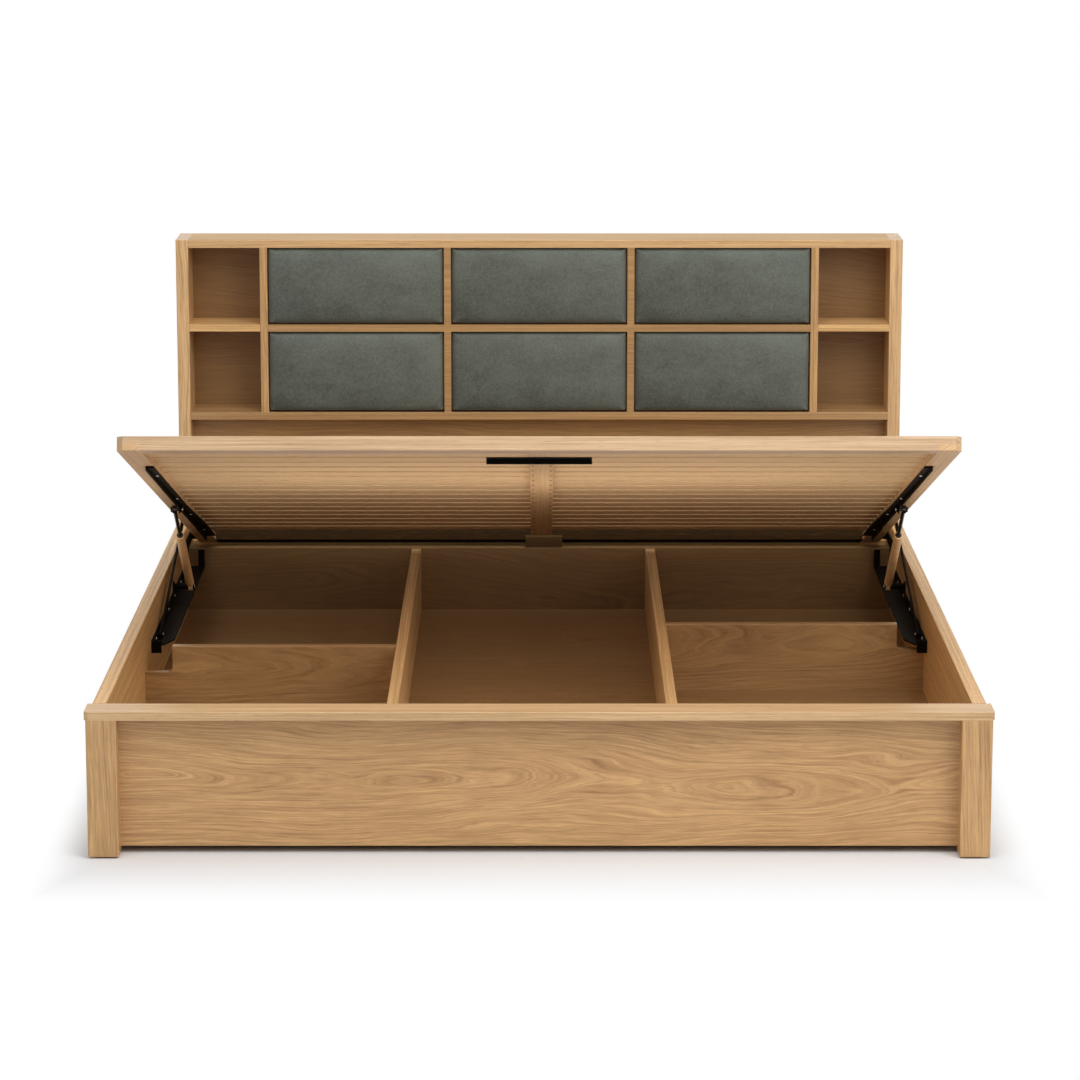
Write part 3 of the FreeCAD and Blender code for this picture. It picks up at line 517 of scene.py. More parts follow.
@dataclass(frozen=True)
class FeltFinish:
    """Pressed grey felt under the feet."""

    light: Colour = (0.16, 0.15, 0.14, 1.0)
    dark: Colour = (0.06, 0.055, 0.05, 1.0)

    def material(self, name: str) -> bpy.types.Material:
        """Makes the felt.

        Args:
            name: Name of the material.

        Returns:
            The material.
        """
        tree = Surface(name)
        fluff = tree.noise(tree.place(), 700.0, 4.0, 0.7)
        return tree.finish(tree.blend(fluff, self.dark, self.light), fluff * 0.1 + 0.85, fluff, 0.6, 0.001)


PANEL_OAK = OakFinish(light=(0.680, 0.408, 0.170, 1.0), thread_share=1.4)
RAIL_OAK = OakFinish(light=(0.880, 0.560, 0.245, 1.0), dark=(0.350, 0.175, 0.058, 1.0), pith_depth=0.30,
                     pith_offset=0.22, pith_slope=0.001, wander=0.016, waver=0.0008, grain_length=5.0,
                     ring_share=0.14, streak_share=2.0, cloud_share=0.30, coat=0.05, gloss=0.25)
CAP_OAK = replace(RAIL_OAK, light=(0.730, 0.490, 0.250, 1.0), dark=(0.340, 0.182, 0.072, 1.0), coat=0.14,
                  gloss=0.5, grain_length=2.0)
TOP_OAK = replace(RAIL_OAK, light=(0.780, 0.510, 0.240, 1.0), dark=(0.420, 0.230, 0.090, 1.0), coat=0.06,
                  roughness=0.6, gloss=0.5, grain_length=2.0)
LID_OAK = replace(RAIL_OAK, light=(0.700, 0.478, 0.276, 1.0), dark=(0.350, 0.200, 0.098, 1.0), coat=0.30,
                  gloss=0.5, grain_length=2.0, streak_share=2.4)
LID_SIDE_OAK = replace(LID_OAK, light=(0.800, 0.530, 0.285, 1.0), dark=(0.420, 0.238, 0.108, 1.0),
                       coat=0.08, gloss=0.3, grain_length=5.0, streak_share=1.6)
BEAM_OAK = replace(RAIL_OAK, light=(0.690, 0.460, 0.245, 1.0), dark=(0.410, 0.235, 0.098, 1.0), coat=0.0,
                   streak_share=1.2)
BAR_OAK = replace(RAIL_OAK, light=(0.535, 0.315, 0.130, 1.0), dark=(0.230, 0.110, 0.035, 1.0), coat=0.30,
                  gloss=0.5)
POST_OAK = OakFinish(light=(0.700, 0.425, 0.182, 1.0), dark=(0.270, 0.130, 0.042, 1.0), pith_depth=0.16,
                     pith_offset=0.10, pith_slope=0.012, wander=0.05, waver=0.003, ring_share=0.22,
                     streak_share=1.9)
SIDE_OAK = replace(POST_OAK, light=(0.820, 0.535, 0.260, 1.0), dark=(0.400, 0.215, 0.086, 1.0),
                   streak_share=2.5)
# The slats carry painted gap shade along their edges.
SLAT_OAK = OakFinish(light=(0.800, 0.560, 0.315, 1.0), dark=(0.480, 0.290, 0.135, 1.0), pith_depth=0.40,
                     pith_offset=0.30, pith_slope=0.02, wander=0.01, waver=0.0, ring_share=0.0,
                     streak_share=0.4, thread_share=0.3, cloud_share=0.2, coat=0.0, gloss=0.3,
                     strip_pitch=0.095, strip_start=-0.0475, strip_half=0.035, painted_gap_shade=0.42)
# Oak of the box's inner boards, darkened in part as painted shade for the box's contents, which are left out.
INSIDE_PART_SHADED_OAK = OakFinish(light=(0.520, 0.310, 0.125, 1.0), dark=(0.225, 0.108, 0.034, 1.0), pith_depth=0.12,
                       pith_offset=0.05, wander=0.10)
DIVIDER_OAK = replace(RAIL_OAK, light=(0.860, 0.565, 0.268, 1.0), dark=(0.400, 0.215, 0.080, 1.0),
                      coat=0.12)
# Painted shade: the recessed lower panel under the shelf is darkened to stand in for the shade there.
LOWER_PANEL_PAINTED_SHADE_OAK = replace(INSIDE_PART_SHADED_OAK, light=(0.500, 0.288, 0.106, 1.0), dark=(0.230, 0.108, 0.034, 1.0))
# Dark plywood of the box floor, darkened in part as painted shade for the box's contents, which are left out.
PLY_PART_SHADED_OAK = OakFinish(light=(0.395, 0.228, 0.086, 1.0), dark=(0.195, 0.095, 0.029, 1.0), pith_depth=0.035,
                    ring_gap=0.012, wander=0.24, roughness=0.52)
# Dark veneer, darkened further as painted shade for the niches behind the pads and for the back of the box.
BACK_SHADED_OAK = replace(PLY_PART_SHADED_OAK, light=(0.268, 0.142, 0.042, 1.0), dark=(0.145, 0.068, 0.017, 1.0), coat=0.10)
# Painted shade: nearly black oak for the parts under the lid's rear, standing in for the shadow that falls
# there.
SHADOW_PAINTED_OAK = replace(RAIL_OAK, light=(0.038, 0.020, 0.007, 1.0), dark=(0.020, 0.009, 0.002, 1.0), coat=0.0,
                   roughness=0.9, gloss=0.08)
# The lid's rear member is painted shade on its underside and front, with plain oak on its top face.
LID_REAR_SHADOW_OAK = replace(SHADOW_PAINTED_OAK, unshaded_top_height=0.015)
# The centre rest block is painted shade all over.
REST_BLOCK_SHADOW_OAK = replace(SHADOW_PAINTED_OAK, light=(0.100, 0.055, 0.022, 1.0), dark=(0.050, 0.025, 0.009, 1.0))
BLACK_PAINT = SteelFinish(colour=(0.0040, 0.0029, 0.0017, 1.0), worn=(0.010, 0.0076, 0.0048, 1.0),
                          roughness=0.58, gloss=0.06)
BROWNED_STEEL = SteelFinish(colour=(0.060, 0.032, 0.013, 1.0), worn=(0.110, 0.060, 0.026, 1.0),
                            roughness=0.60, gloss=0.20)
ZINC_PLATE = SteelFinish(colour=(0.62, 0.62, 0.61, 1.0), worn=(0.42, 0.42, 0.42, 1.0), metallic=1.0,
                         roughness=0.34, relief=0.05)
ROD_STEEL = SteelFinish(colour=(0.055, 0.053, 0.052, 1.0), worn=(0.090, 0.088, 0.085, 1.0), metallic=1.0,
                        roughness=0.26, relief=0.02)
SLEEVE_PAINT = SteelFinish(colour=(1.000, 0.629, 0.297, 1.0), worn=(0.784, 0.456, 0.200, 1.0),
                           roughness=0.50, grain=60.0, relief=0.10, coat=0.05)
SEAL_RUBBER = SteelFinish(colour=(0.012, 0.012, 0.012, 1.0), worn=(0.024, 0.024, 0.024, 1.0),
                          roughness=0.62)


@dataclass(frozen=True)
class Board:
    """A wooden node of the frame, with its cut and the lay of its grain."""

    node: str
    finish: OakFinish
    lay: Lay
    seed: float

    def dress(self, nodes: dict[str, bpy.types.Object]) -> None:
        """Gives the node its own piece of oak."""
        low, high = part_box(self.node)
        material = self.finish.material("oak_" + self.node, self.lay, (low + high) / 2, self.seed)
        paint(nodes[self.node], material)


def paint(piece: bpy.types.Object, material: bpy.types.Material) -> None:
    """Puts a material in every slot of a piece."""
    if not piece.material_slots:
        piece.data.materials.append(material)
    for place in piece.material_slots:
        place.material = material


def finished(name: str, shape: bmesh.types.BMesh, material: bpy.types.Material, body: Body) -> bpy.types.Object:
    """Turns a bmesh into a piece that rides on a body.

    Args:
        name: Name of the piece.
        shape: Its shape, in the frame's place; it is freed.
        material: Its finish.
        body: Body that it moves with.

    Returns:
        The piece.
    """
    bmesh.ops.recalc_face_normals(shape, faces=shape.faces)
    mesh = bpy.data.meshes.new(name)
    shape.to_mesh(mesh)
    shape.free()
    piece = bpy.data.objects.new(name, mesh)
    bpy.context.scene.collection.objects.link(piece)
    paint(piece, material)
    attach(piece, body.value)
    LOG.info("%s: %d faces on %s", name, len(mesh.polygons), body.value)
    return piece


def facing(point: Vector, direction: Vector) -> Matrix:
    """Place of a fastener whose head looks along a direction."""
    return Matrix.Translation(point) @ direction.to_track_quat("Z", "Y").to_matrix().to_4x4()


def lid_point(x: float, along: float, height: float) -> Vector:
    """Point of the open lid.

    Args:
        x: Distance to the right of the bed's middle.
        along: Distance from the hinge towards the foot end, in the lid's plane.
        height: Distance above the hinge line, square to the lid.

    Returns:
        The point in the frame.
    """
    return LID_HINGE + Vector((x, 0.0, 0.0)) - Vector(LID_ALONG) * along + Vector(LID_UP) * height


@dataclass(frozen=True)
class Fastener:
    """A domed screw head or bolt end.

    Its recess falls on one facet of the rim and not on the top, because the faces that are searched end
    at the first ring of the rounding.
    """

    radius: float
    height: float
    sides: int = 18
    top_share: float = 0.86
    round_share: float = 0.35
    recess_share: float = 0.45
    recess_slope: float = 0.06
    recess_depth: float = 0.45

    def add_to(self, shape: bmesh.types.BMesh, place: Matrix) -> None:
        """Adds one head to a shape.

        Args:
            shape: Shape that gets the head.
            place: Place of its seat, with Z out of the surface.
        """
        lift = Matrix.Translation((0.0, 0.0, self.height / 2))
        made = bmesh.ops.create_cone(shape, cap_ends=True, segments=self.sides, radius1=self.radius,
                                     radius2=self.radius * self.top_share, depth=self.height,
                                     matrix=place @ lift)
        inverse = place.inverted()
        faces = {face for vert in made["verts"] for face in vert.link_faces}
        top = max(faces, key=lambda face: (inverse @ face.calc_center_median()).z)
        bmesh.ops.bevel(shape, geom=list(top.edges), offset=self.height * self.round_share, segments=2,
                        profile=0.5, affect="EDGES", material=-1)
        around = {face for vert in made["verts"] if vert.is_valid for face in vert.link_faces}
        faces = set(around)
        for face in around:
            faces |= {other for painted_gap_shade_mask in face.edges for other in painted_gap_shade_mask.link_faces}
        top = max(faces, key=lambda face: (inverse @ face.calc_center_median()).z * len(face.verts))
        bmesh.ops.inset_individual(shape, faces=[top], thickness=self.radius * self.recess_share, depth=0.0)
        bmesh.ops.inset_individual(shape, faces=[top], thickness=self.radius * self.recess_slope,
                                   depth=-self.height * self.recess_depth)


@dataclass
class Footboard:
    """Cap, legs and recessed panel at the foot end."""

    boards: tuple[Board, ...] = (
        Board("footboard_cap", CAP_OAK, Lay.X_FACE_Z, 3.0),
        Board("footboard_panel", PANEL_OAK, Lay.X_FACE_Y, 11.0),
        Board("leg_front_left", POST_OAK, Lay.Z_FACE_Y, 5.0),
        Board("leg_front_right", POST_OAK, Lay.Z_FACE_Y, 9.0),
    )


@dataclass
class StorageBox:
    """Rails, cross boards, dividers and floor."""

    boards: tuple[Board, ...] = (
        Board("side_rail_left", RAIL_OAK, Lay.Y_FACE_X, 14.0),
        Board("side_rail_right", RAIL_OAK, Lay.Y_FACE_X, 18.0),
        Board("front_cross_board", INSIDE_PART_SHADED_OAK, Lay.X_FACE_Y, 21.0),
        Board("rear_cross_board", BACK_SHADED_OAK, Lay.X_FACE_Y, 24.0),
        Board("centre_rest_block", REST_BLOCK_SHADOW_OAK, Lay.X_FACE_Y, 26.0),
        Board("divider_long_left", DIVIDER_OAK, Lay.Y_FACE_X, 29.0),
        Board("divider_long_right", DIVIDER_OAK, Lay.Y_FACE_X, 31.0),
        Board("divider_cross_left", INSIDE_PART_SHADED_OAK, Lay.X_FACE_Y, 34.0),
        Board("divider_cross_right", INSIDE_PART_SHADED_OAK, Lay.X_FACE_Y, 37.0),
        Board("floor_board_front", PLY_PART_SHADED_OAK, Lay.X_FACE_Z, 41.0),
        Board("floor_board_middle", PLY_PART_SHADED_OAK, Lay.X_FACE_Z, 43.0),
        Board("floor_board_rear", PLY_PART_SHADED_OAK, Lay.X_FACE_Z, 47.0),
        Board("floor_ledgers", RAIL_OAK, Lay.Y_FACE_X, 51.0),
        Board("floor_bearers", RAIL_OAK, Lay.X_FACE_Z, 53.0),
        Board("centre_feet", POST_OAK, Lay.Z_FACE_Y, 55.0),
    )


@dataclass(frozen=True)
class Cover:
    """Cloth of a pad, under the pressure of its stuffing."""

    quality: int = 7
    mass: float = 0.25
    stretch: float = 18.0
    shear: float = 8.0
    bending: float = 0.6
    pressure: float = 6.0
    frames: int = 20

    def add_to(self, pad: bpy.types.Object) -> None:
        """Gives a blank its fabric and the pressure of its stuffing.

        Args:
            pad: Blank whose back is pinned in the group named held.
        """
        cloth = pad.modifiers.new("Stuffing", "CLOTH")
        cloth.settings.quality = self.quality
        cloth.settings.mass = self.mass
        cloth.settings.tension_stiffness = self.stretch
        cloth.settings.compression_stiffness = self.stretch
        cloth.settings.shear_stiffness = self.shear
        cloth.settings.bending_stiffness = self.bending
        cloth.settings.use_pressure = True
        cloth.settings.uniform_pressure_force = self.pressure
        cloth.settings.effector_weights.gravity = 0.0
        cloth.settings.vertex_group_mass = "held"
        cloth.collision_settings.use_collision = False
        cloth.collision_settings.use_self_collision = False
        cloth.point_cache.frame_start = 1
        cloth.point_cache.frame_end = self.frames


@dataclass
class Headboard:
    """Frame of the headboard, its niches, and six stuffed pads."""

    boards: tuple[Board, ...] = (
        Board("headboard_side_left", SIDE_OAK, Lay.Z_FACE_X, 61.0),
        Board("headboard_side_right", SIDE_OAK, Lay.Z_FACE_X, 64.0),
        Board("headboard_top", TOP_OAK, Lay.X_FACE_Z, 67.0),
        Board("headboard_bottom_shelf", BAR_OAK, Lay.X_FACE_Z, 69.0),
        Board("headboard_upright_left", POST_OAK, Lay.Z_FACE_X, 72.0),
        Board("headboard_upright_right", POST_OAK, Lay.Z_FACE_X, 74.0),
        Board("headboard_muntins", BAR_OAK, Lay.X_FACE_Y, 76.0),
        Board("niche_shelves", RAIL_OAK, Lay.X_FACE_Z, 79.0),
        Board("headboard_back_panel", BACK_SHADED_OAK, Lay.X_FACE_Y, 83.0),
        Board("headboard_lower_panel", LOWER_PANEL_PAINTED_SHADE_OAK, Lay.X_FACE_Y, 85.0),
        Board("headboard_lower_rail", RAIL_OAK, Lay.X_FACE_Y, 88.0),
        Board("pad_backing_boards", PLY_PART_SHADED_OAK, Lay.X_FACE_Y, 90.0),
    )
    pads: tuple[str, ...] = (
        "pad_lower_left", "pad_lower_centre", "pad_lower_right",
        "pad_upper_left", "pad_upper_centre", "pad_upper_right",
    )
    pad_margin: float = 0.0008
    pad_sink: float = 0.0040
    edge_round: float = 0.0050
    cell: float = 0.0085
    cell_weld: float = 0.0004
    hold_start: float = 1.35
    hold_fall: float = 1.5
    swell_limit: float = 0.0060
    ease_depth: float = 0.0002
    ease_rounds: int = 10
    cover: Cover = Cover()
    screw: Fastener = Fastener(0.0042, 0.0012)
    screw_count: int = 8
    screw_inset: float = 0.030
    stuffing: list[bpy.types.Object] = field(default_factory=list)

    def pad_blank(self, node: str, seed: float) -> bpy.types.Object:
        """Makes a pad before it is stuffed: a soft-edged block over its backing board.

        Args:
            node: Pad of the frame that it stands for.
            seed: Number that gives the pad its own fabric.

        Returns:
            The blank, with its back pinned in the group named held.
        """
        low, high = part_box(node)
        low = low + Vector((self.pad_margin, self.pad_sink, self.pad_margin))
        high = high - Vector((self.pad_margin, 0.0, self.pad_margin))
        size = high - low
        shape = bmesh.new()
        block = Matrix.Translation((low + high) / 2) @ Matrix.Diagonal((*size, 1.0))
        bmesh.ops.create_cube(shape, size=1.0, matrix=block)
        front = [painted_gap_shade_mask for painted_gap_shade_mask in shape.edges if any(vert.co.y < low.y + size.y / 4 for vert in painted_gap_shade_mask.verts)]
        bmesh.ops.bevel(shape, geom=front, offset=self.edge_round, segments=3, profile=0.5, affect="EDGES",
                        material=-1)
        for axis in range(3):
            steps = int(size[axis] / self.cell)
            for step in range(1, steps):
                point = low.copy()
                point[axis] += size[axis] * step / steps
                normal = Vector((0.0, 0.0, 0.0))
                normal[axis] = 1.0
                geometry = shape.verts[:] + shape.edges[:] + shape.faces[:]
                bmesh.ops.bisect_plane(shape, geom=geometry, plane_co=point, plane_no=normal,
                                       dist=self.cell_weld)
        material = SuedeFinish().material("suede_" + node, seed, (low + high) / 2, size)
        pad = finished("cushion_" + node.removeprefix("pad_"), shape, material, Body.ROOT)
        held = pad.vertex_groups.new(name="held")
        for vert in pad.data.vertices:
            depth = (high.y - vert.co.y) / size.y
            weight = self.hold_start - depth * self.hold_fall
            held.add([vert.index], max(0.0, min(1.0, weight)), "REPLACE")
        return pad

    def settle(self, pad: bpy.types.Object) -> None:
        """Keeps the stuffed shape, with each point's travel eased to the limit and the face smoothed."""
        rest = [vert.co.copy() for vert in pad.data.vertices]
        stuffed = pad.evaluated_get(bpy.context.evaluated_depsgraph_get())
        moved = [vert.co.copy() for vert in stuffed.to_mesh().vertices]
        stuffed.to_mesh_clear()
        pad.modifiers.clear()
        for vert, start, end in zip(pad.data.vertices, rest, moved):
            travel = end - start
            if travel.length > 0:
                eased = self.swell_limit * math.tanh(travel.length / self.swell_limit)
                vert.co = start + travel * (eased / travel.length)
        shape = bmesh.new()
        shape.from_mesh(pad.data)
        front = min(point.y for point in rest)
        face = [vert for vert, start in zip(shape.verts, rest) if start.y < front + self.ease_depth]
        for _ in range(self.ease_rounds):
            bmesh.ops.smooth_vert(shape, verts=face, factor=0.5, use_axis_y=True)
        shape.to_mesh(pad.data)
        shape.free()

    def panel_screws(self) -> None:
        """Makes the screws along the top and bottom of each panel, seen from behind."""
        shape = bmesh.new()
        backward = Vector((0.0, 1.0, 0.0))
        for node in ("headboard_back_panel", "headboard_lower_panel"):
            low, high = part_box(node)
            span = high.x - low.x - 2 * self.screw_inset
            for step in range(self.screw_count):
                x = low.x + self.screw_inset + span * step / (self.screw_count - 1)
                for z in (low.z + self.screw_inset, high.z - self.screw_inset):
                    self.screw.add_to(shape, facing(Vector((x, high.y, z)), backward))
        finished("panel_screws", shape, ZINC_PLATE.material("zinc_panel_screws"), Body.ROOT)

    def build(self) -> None:
        """Makes the screws and the six pads, stuffs the pads together, and rounds them off."""
        self.panel_screws()
        for step, node in enumerate(self.pads):
            pad = self.pad_blank(node, step + 1.0)
            self.stuffing.append(pad)
            self.cover.add_to(pad)
        for moment in range(1, self.cover.frames + 1):
            bpy.context.scene.frame_set(moment)
        for pad in self.stuffing:
            self.settle(pad)
        bpy.context.scene.frame_set(1)
        for node, pad in zip(self.pads, self.stuffing):
            for face in pad.data.polygons:
                face.use_smooth = True
            smooth = pad.modifiers.new("Rounding", "SUBSURF")
            smooth.levels = 1
            smooth.render_levels = 1
            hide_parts(node)


@dataclass
class Lid:
    """Slatted lid with its centre beam, and the screws that hold them."""

    boards: tuple[Board, ...] = (
        Board("lid_front_member", LID_OAK, Lay.LID_ACROSS, 101.0),
        Board("lid_rear_member", LID_REAR_SHADOW_OAK, Lay.LID_ACROSS, 104.0),
        Board("lid_side_member_left", LID_SIDE_OAK, Lay.LID_LENGTH, 107.0),
        Board("lid_side_member_right", LID_SIDE_OAK, Lay.LID_LENGTH, 109.0),
        Board("lid_slats", SLAT_OAK, Lay.LID_ACROSS, 112.0),
        Board("lid_centre_beam", BEAM_OAK, Lay.LID_LENGTH, 115.0),
    )
    first_slat: float = 0.160
    slat_width: float = 0.070
    slat_pitch: float = 0.095
    slat_count: int = 19
    hinge_from_foot: float = 2.100
    beam_offset: float = 0.006
    beam_under: float = -0.014
    beam_screw: Fastener = Fastener(0.0030, 0.0008)
    beam_screw_spread: float = 0.020
    bracket_screw: Fastener = Fastener(0.0040, 0.0016)
    bracket_screw_places: tuple[float, ...] = (1.56, 1.08, 0.72, 0.34)
    bracket_x: float = 0.8455
    bracket_under: float = -0.018

    def build(self) -> None:
        """Makes the screws of the beam and of the lift's brackets."""
        self.beam_screws()
        self.bracket_screws()

    def beam_screws(self) -> None:
        """Makes the beam's screws, two in each slat but the first."""
        shape = bmesh.new()
        for step in range(1, self.slat_count):
            middle = self.first_slat + self.slat_pitch * step + self.slat_width / 2
            for side in (-1.0, 1.0):
                x = self.beam_offset + side * self.beam_screw_spread
                point = lid_point(x, self.hinge_from_foot - middle, self.beam_under)
                self.beam_screw.add_to(shape, facing(point, -Vector(LID_UP)))
        finished("beam_screws", shape, BROWNED_STEEL.material("browned_screws"), Body.LID)

    def bracket_screws(self) -> None:
        """Makes the screws that hold the lift's brackets to the lid."""
        shape = bmesh.new()
        for side in (-1.0, 1.0):
            for along in self.bracket_screw_places:
                point = lid_point(side * self.bracket_x, along, self.bracket_under)
                self.bracket_screw.add_to(shape, facing(point, -Vector(LID_UP)))
        finished("bracket_screws", shape, ZINC_PLATE.material("zinc_screws"), Body.LID)


@dataclass
class Lift:
    """Steel of the lift, the pull and the corners, with the bolts and seals that the frame leaves out."""

    black: tuple[str, ...] = ("base_bracket_left", "base_bracket_right", "lid_bracket_left",
                              "lid_bracket_right", "stay_arms", "lid_hinge_plates", "lid_pull",
                              "corner_brackets")
    zinc: tuple[str, ...] = ("base_bracket_screws", "hinge_pins", "stay_pins", "corner_bolts")
    tubes: tuple[str, ...] = ("gas_tube_left", "gas_tube_right")
    rods: tuple[str, ...] = ("gas_rod_left", "gas_rod_right")
    strut_x: float = 0.866
    strut_base: tuple[float, float] = (0.4475, 0.246)
    strut_top_along: float = 0.918
    strut_top_height: float = -0.0265
    sleeve_length: float = 0.318
    sleeve_radius: float = 0.0105
    seal_sides: int = 32
    seal_height: float = 0.007
    seal_overlap: float = 0.001
    seal_round: float = 0.0012
    seal_foot_inset: float = 0.0024
    seal_end_inset: float = 0.0040
    lower_bolt: Fastener = Fastener(0.0046, 0.0012)
    upper_bolt: Fastener = Fastener(0.0050, 0.0024)
    nut_face: float = 0.8567
    top_nut_face: float = 0.8480
    stay_nut_face: float = 0.8927
    stay_pivot: tuple[float, float] = (-0.0015, 0.224)

    def seals(self) -> None:
        """Makes the rubber wiper in the mouth of each strut's sleeve."""
        shape = bmesh.new()
        for side in (-1.0, 1.0):
            base = Vector((side * self.strut_x, *self.strut_base))
            top = lid_point(side * self.strut_x, self.strut_top_along, self.strut_top_height)
            along = (top - base).normalized()
            middle = self.sleeve_length + self.seal_height / 2 - self.seal_overlap
            place = facing(base + along * middle, along)
            made = bmesh.ops.create_cone(shape, cap_ends=True, segments=self.seal_sides,
                                         radius1=self.sleeve_radius - self.seal_foot_inset,
                                         radius2=self.sleeve_radius - self.seal_end_inset,
                                         depth=self.seal_height, matrix=place)
            rims = {painted_gap_shade_mask for vert in made["verts"] for painted_gap_shade_mask in vert.link_edges if len(painted_gap_shade_mask.link_faces) == 2
                    and max(len(face.verts) for face in painted_gap_shade_mask.link_faces) > 4}
            bmesh.ops.bevel(shape, geom=list(rims), offset=self.seal_round, segments=2, profile=0.5,
                            affect="EDGES", material=-1)
        finished("strut_wipers", shape, SEAL_RUBBER.material("seal_rubber"), Body.TUBES)

    def bolts(self) -> None:
        """Makes the bright bolt ends that stand out of the lift's nuts."""
        fixed, lifted = bmesh.new(), bmesh.new()
        for side in (-1.0, 1.0):
            inward = Vector((-side, 0.0, 0.0))
            for face, spot in ((self.nut_face, self.strut_base), (self.stay_nut_face, self.stay_pivot)):
                self.lower_bolt.add_to(fixed, facing(Vector((side * face, *spot)), inward))
            top = lid_point(side * self.top_nut_face, self.strut_top_along, self.strut_top_height)
            self.upper_bolt.add_to(lifted, facing(top, inward))
        zinc = ZINC_PLATE.material("zinc_bolts")
        finished("lift_bolts_fixed", fixed, zinc, Body.ROOT)
        finished("lift_bolts_lid", lifted, zinc, Body.LID)

    def dress(self, nodes: dict[str, bpy.types.Object]) -> None:
        """Gives the steel nodes their paint or plating."""
        finishes = ((self.black, BLACK_PAINT, "black_paint"), (self.zinc, ZINC_PLATE, "zinc_plate"),
                    (self.tubes, SLEEVE_PAINT, "sleeve_paint"), (self.rods, ROD_STEEL, "rod_steel"))
        for names, finish, name in finishes:
            material = finish.material(name)
            for node in names:
                paint(nodes[node], material)


@dataclass(frozen=True)
class Lamp:
    """A soft rectangular lamp that the camera doesn't see, with its power in watts."""

    name: str
    place: Triple
    aim: Triple
    size: tuple[float, float]
    power: float

    def hang(self) -> None:
        """Adds the lamp to the scene."""
        light = bpy.data.lights.new(self.name, "AREA")
        light.shape = "RECTANGLE"
        light.size, light.size_y = self.size
        light.energy = self.power
        lamp = bpy.data.objects.new(self.name, light)
        lamp.location = self.place
        lamp.rotation_euler = (Vector(self.aim) - Vector(self.place)).to_track_quat("-Z", "Y").to_euler()
        lamp.visible_camera = False
        bpy.context.scene.collection.objects.link(lamp)


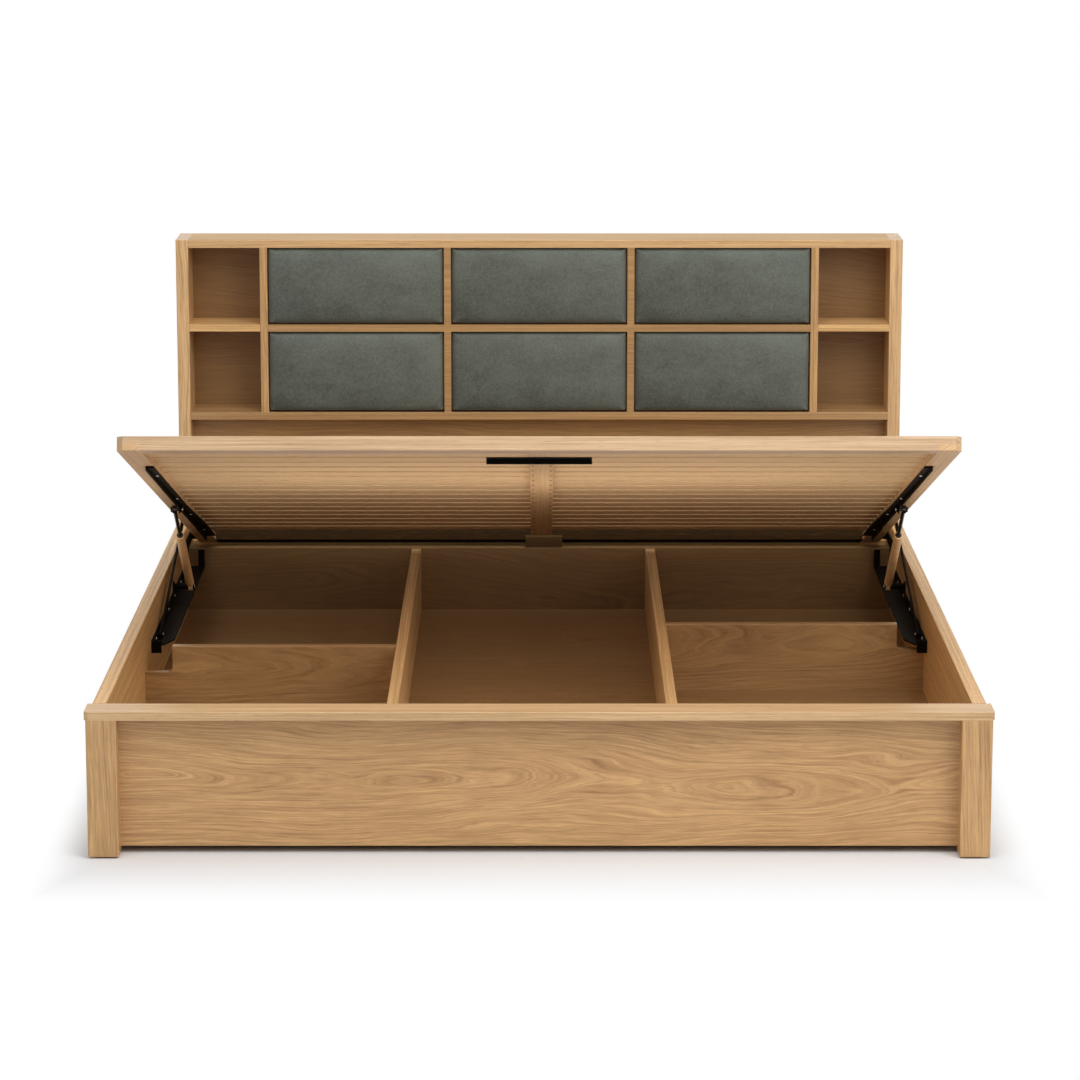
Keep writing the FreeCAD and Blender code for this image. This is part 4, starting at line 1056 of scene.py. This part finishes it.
@dataclass
class Studio:
    """Pale floor, soft lamps and the camera."""

    lamps: tuple[Lamp, ...] = (
        Lamp("top", (0.7, -1.9, 4.2), (0.0, -1.0, 0.3), (2.5, 5.0), 105.0),
        Lamp("key", (-2.6, -4.2, 4.6), (0.0, 0.0, 0.3), (3.2, 3.2), 71.0),
        Lamp("fill", (3.4, -4.6, 3.4), (0.0, 0.0, 0.4), (3.0, 3.0), 105.0),
        Lamp("card", (0.0, -0.49, 0.33), (0.0, -0.38, 0.9), (1.6, 0.20), 3.1),
    )
    sensor_width: float = 36.0
    view_depth: float = 100.0
    floor_size: float = 30.0
    lens: float = 130.94
    camera_place: Triple = (0.0, -9.103, 2.2665)
    camera_pitch: float = 11.2715
    frame_shift: float = 0.00074
    floor_tint: Colour = (0.790, 0.798, 0.815, 1.0)
    sky_tint: Colour = (1.0, 0.99, 0.98, 1.0)
    sky_strength: float = 0.32
    sheen_strength: float = 1.1
    half_width: float = 0.95
    half_length: float = 1.1525
    side_fade: tuple[float, float] = (-0.03, 0.10)
    front_fade: tuple[float, float] = (0.03, 0.34)

    def backdrop(self) -> None:
        """Lays the floor, which keeps the bed's shadow and fades to plain white away from it."""
        shape = bmesh.new()
        bmesh.ops.create_grid(shape, x_segments=1, y_segments=1, size=self.floor_size)
        mesh = bpy.data.meshes.new("studio_floor")
        shape.to_mesh(mesh)
        shape.free()
        floor = bpy.data.objects.new("studio_floor", mesh)
        bpy.context.scene.collection.objects.link(floor)
        material = bpy.data.materials.new("studio_floor")
        tree = NodeGraph(material)
        matte = tree.node("ShaderNodeBsdfDiffuse", inputs={"Color": self.floor_tint})
        white = tree.node("ShaderNodeEmission", inputs={"Strength": 1.0})
        x, y, _ = tree.axes(tree.place())
        beside = tree.band(tree.maths("ABSOLUTE", x) - self.half_width, *self.side_fade)
        before = tree.band(tree.maths("ABSOLUTE", y) - self.half_length, *self.front_fade)
        seen = Value(tree, tree.node("ShaderNodeLightPath").outputs["Is Camera Ray"])
        share = tree.maths("MAXIMUM", beside, before) * seen
        far = tree.node("ShaderNodeMixShader", inputs={0: share, 1: matte.outputs[0], 2: white.outputs[0]})
        tree.node("ShaderNodeOutputMaterial", inputs={"Surface": far.outputs[0]})
        floor.data.materials.append(material)

    def sky(self) -> None:
        """Sets a soft world that shows plain white to the camera and in the sheen of the oil."""
        world = bpy.data.worlds.new("studio")
        bpy.context.scene.world = world
        tree = NodeGraph(world)
        plain_white = (1.0, 1.0, 1.0, 1.0)
        soft, sheen, white = (
            tree.node("ShaderNodeBackground", inputs={"Color": colour, "Strength": strength})
            for colour, strength in ((self.sky_tint, self.sky_strength),
                                     (plain_white, self.sheen_strength), (plain_white, 1.0)))
        rays = tree.node("ShaderNodeLightPath").outputs
        glossy = tree.node("ShaderNodeMixShader",
                           inputs={0: rays["Is Glossy Ray"], 1: soft.outputs[0], 2: sheen.outputs[0]})
        seen = tree.node("ShaderNodeMixShader",
                         inputs={0: rays["Is Camera Ray"], 1: glossy.outputs[0], 2: white.outputs[0]})
        tree.node("ShaderNodeOutputWorld", inputs={"Surface": seen.outputs[0]})

    def build(self) -> None:
        """Sets the stage."""
        self.backdrop()
        self.sky()
        for lamp in self.lamps:
            lamp.hang()
        camera = bpy.data.cameras.new("photo_camera")
        camera.lens = self.lens
        camera.sensor_width = self.sensor_width
        camera.shift_x = self.frame_shift
        camera.clip_end = self.view_depth
        seat = bpy.data.objects.new("photo_camera", camera)
        seat.location = self.camera_place
        seat.rotation_euler = (math.radians(90.0 - self.camera_pitch), 0.0, 0.0)
        bpy.context.scene.collection.objects.link(seat)
        bpy.context.scene.camera = seat
        bpy.context.scene.view_settings.view_transform = "Standard"


def main() -> None:
    """Builds the bed on its frame and sets it on the stage."""
    logging.basicConfig(level=logging.INFO, format="%(name)s %(message)s")
    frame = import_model()
    nodes = frame["nodes"]
    footboard, box, headboard, lid, lift = Footboard(), StorageBox(), Headboard(), Lid(), Lift()
    for part in (footboard, box, headboard, lid):
        for board in part.boards:
            board.dress(nodes)
        LOG.info("%s: %d boards dressed", type(part).__name__, len(part.boards))
    lift.dress(nodes)
    paint(nodes["floor_glides"], FeltFinish().material("felt"))
    headboard.build()
    lid.build()
    lift.seals()
    lift.bolts()
    Studio().build()
    bpy.context.view_layer.update()


if __name__ == "__main__":
    main()
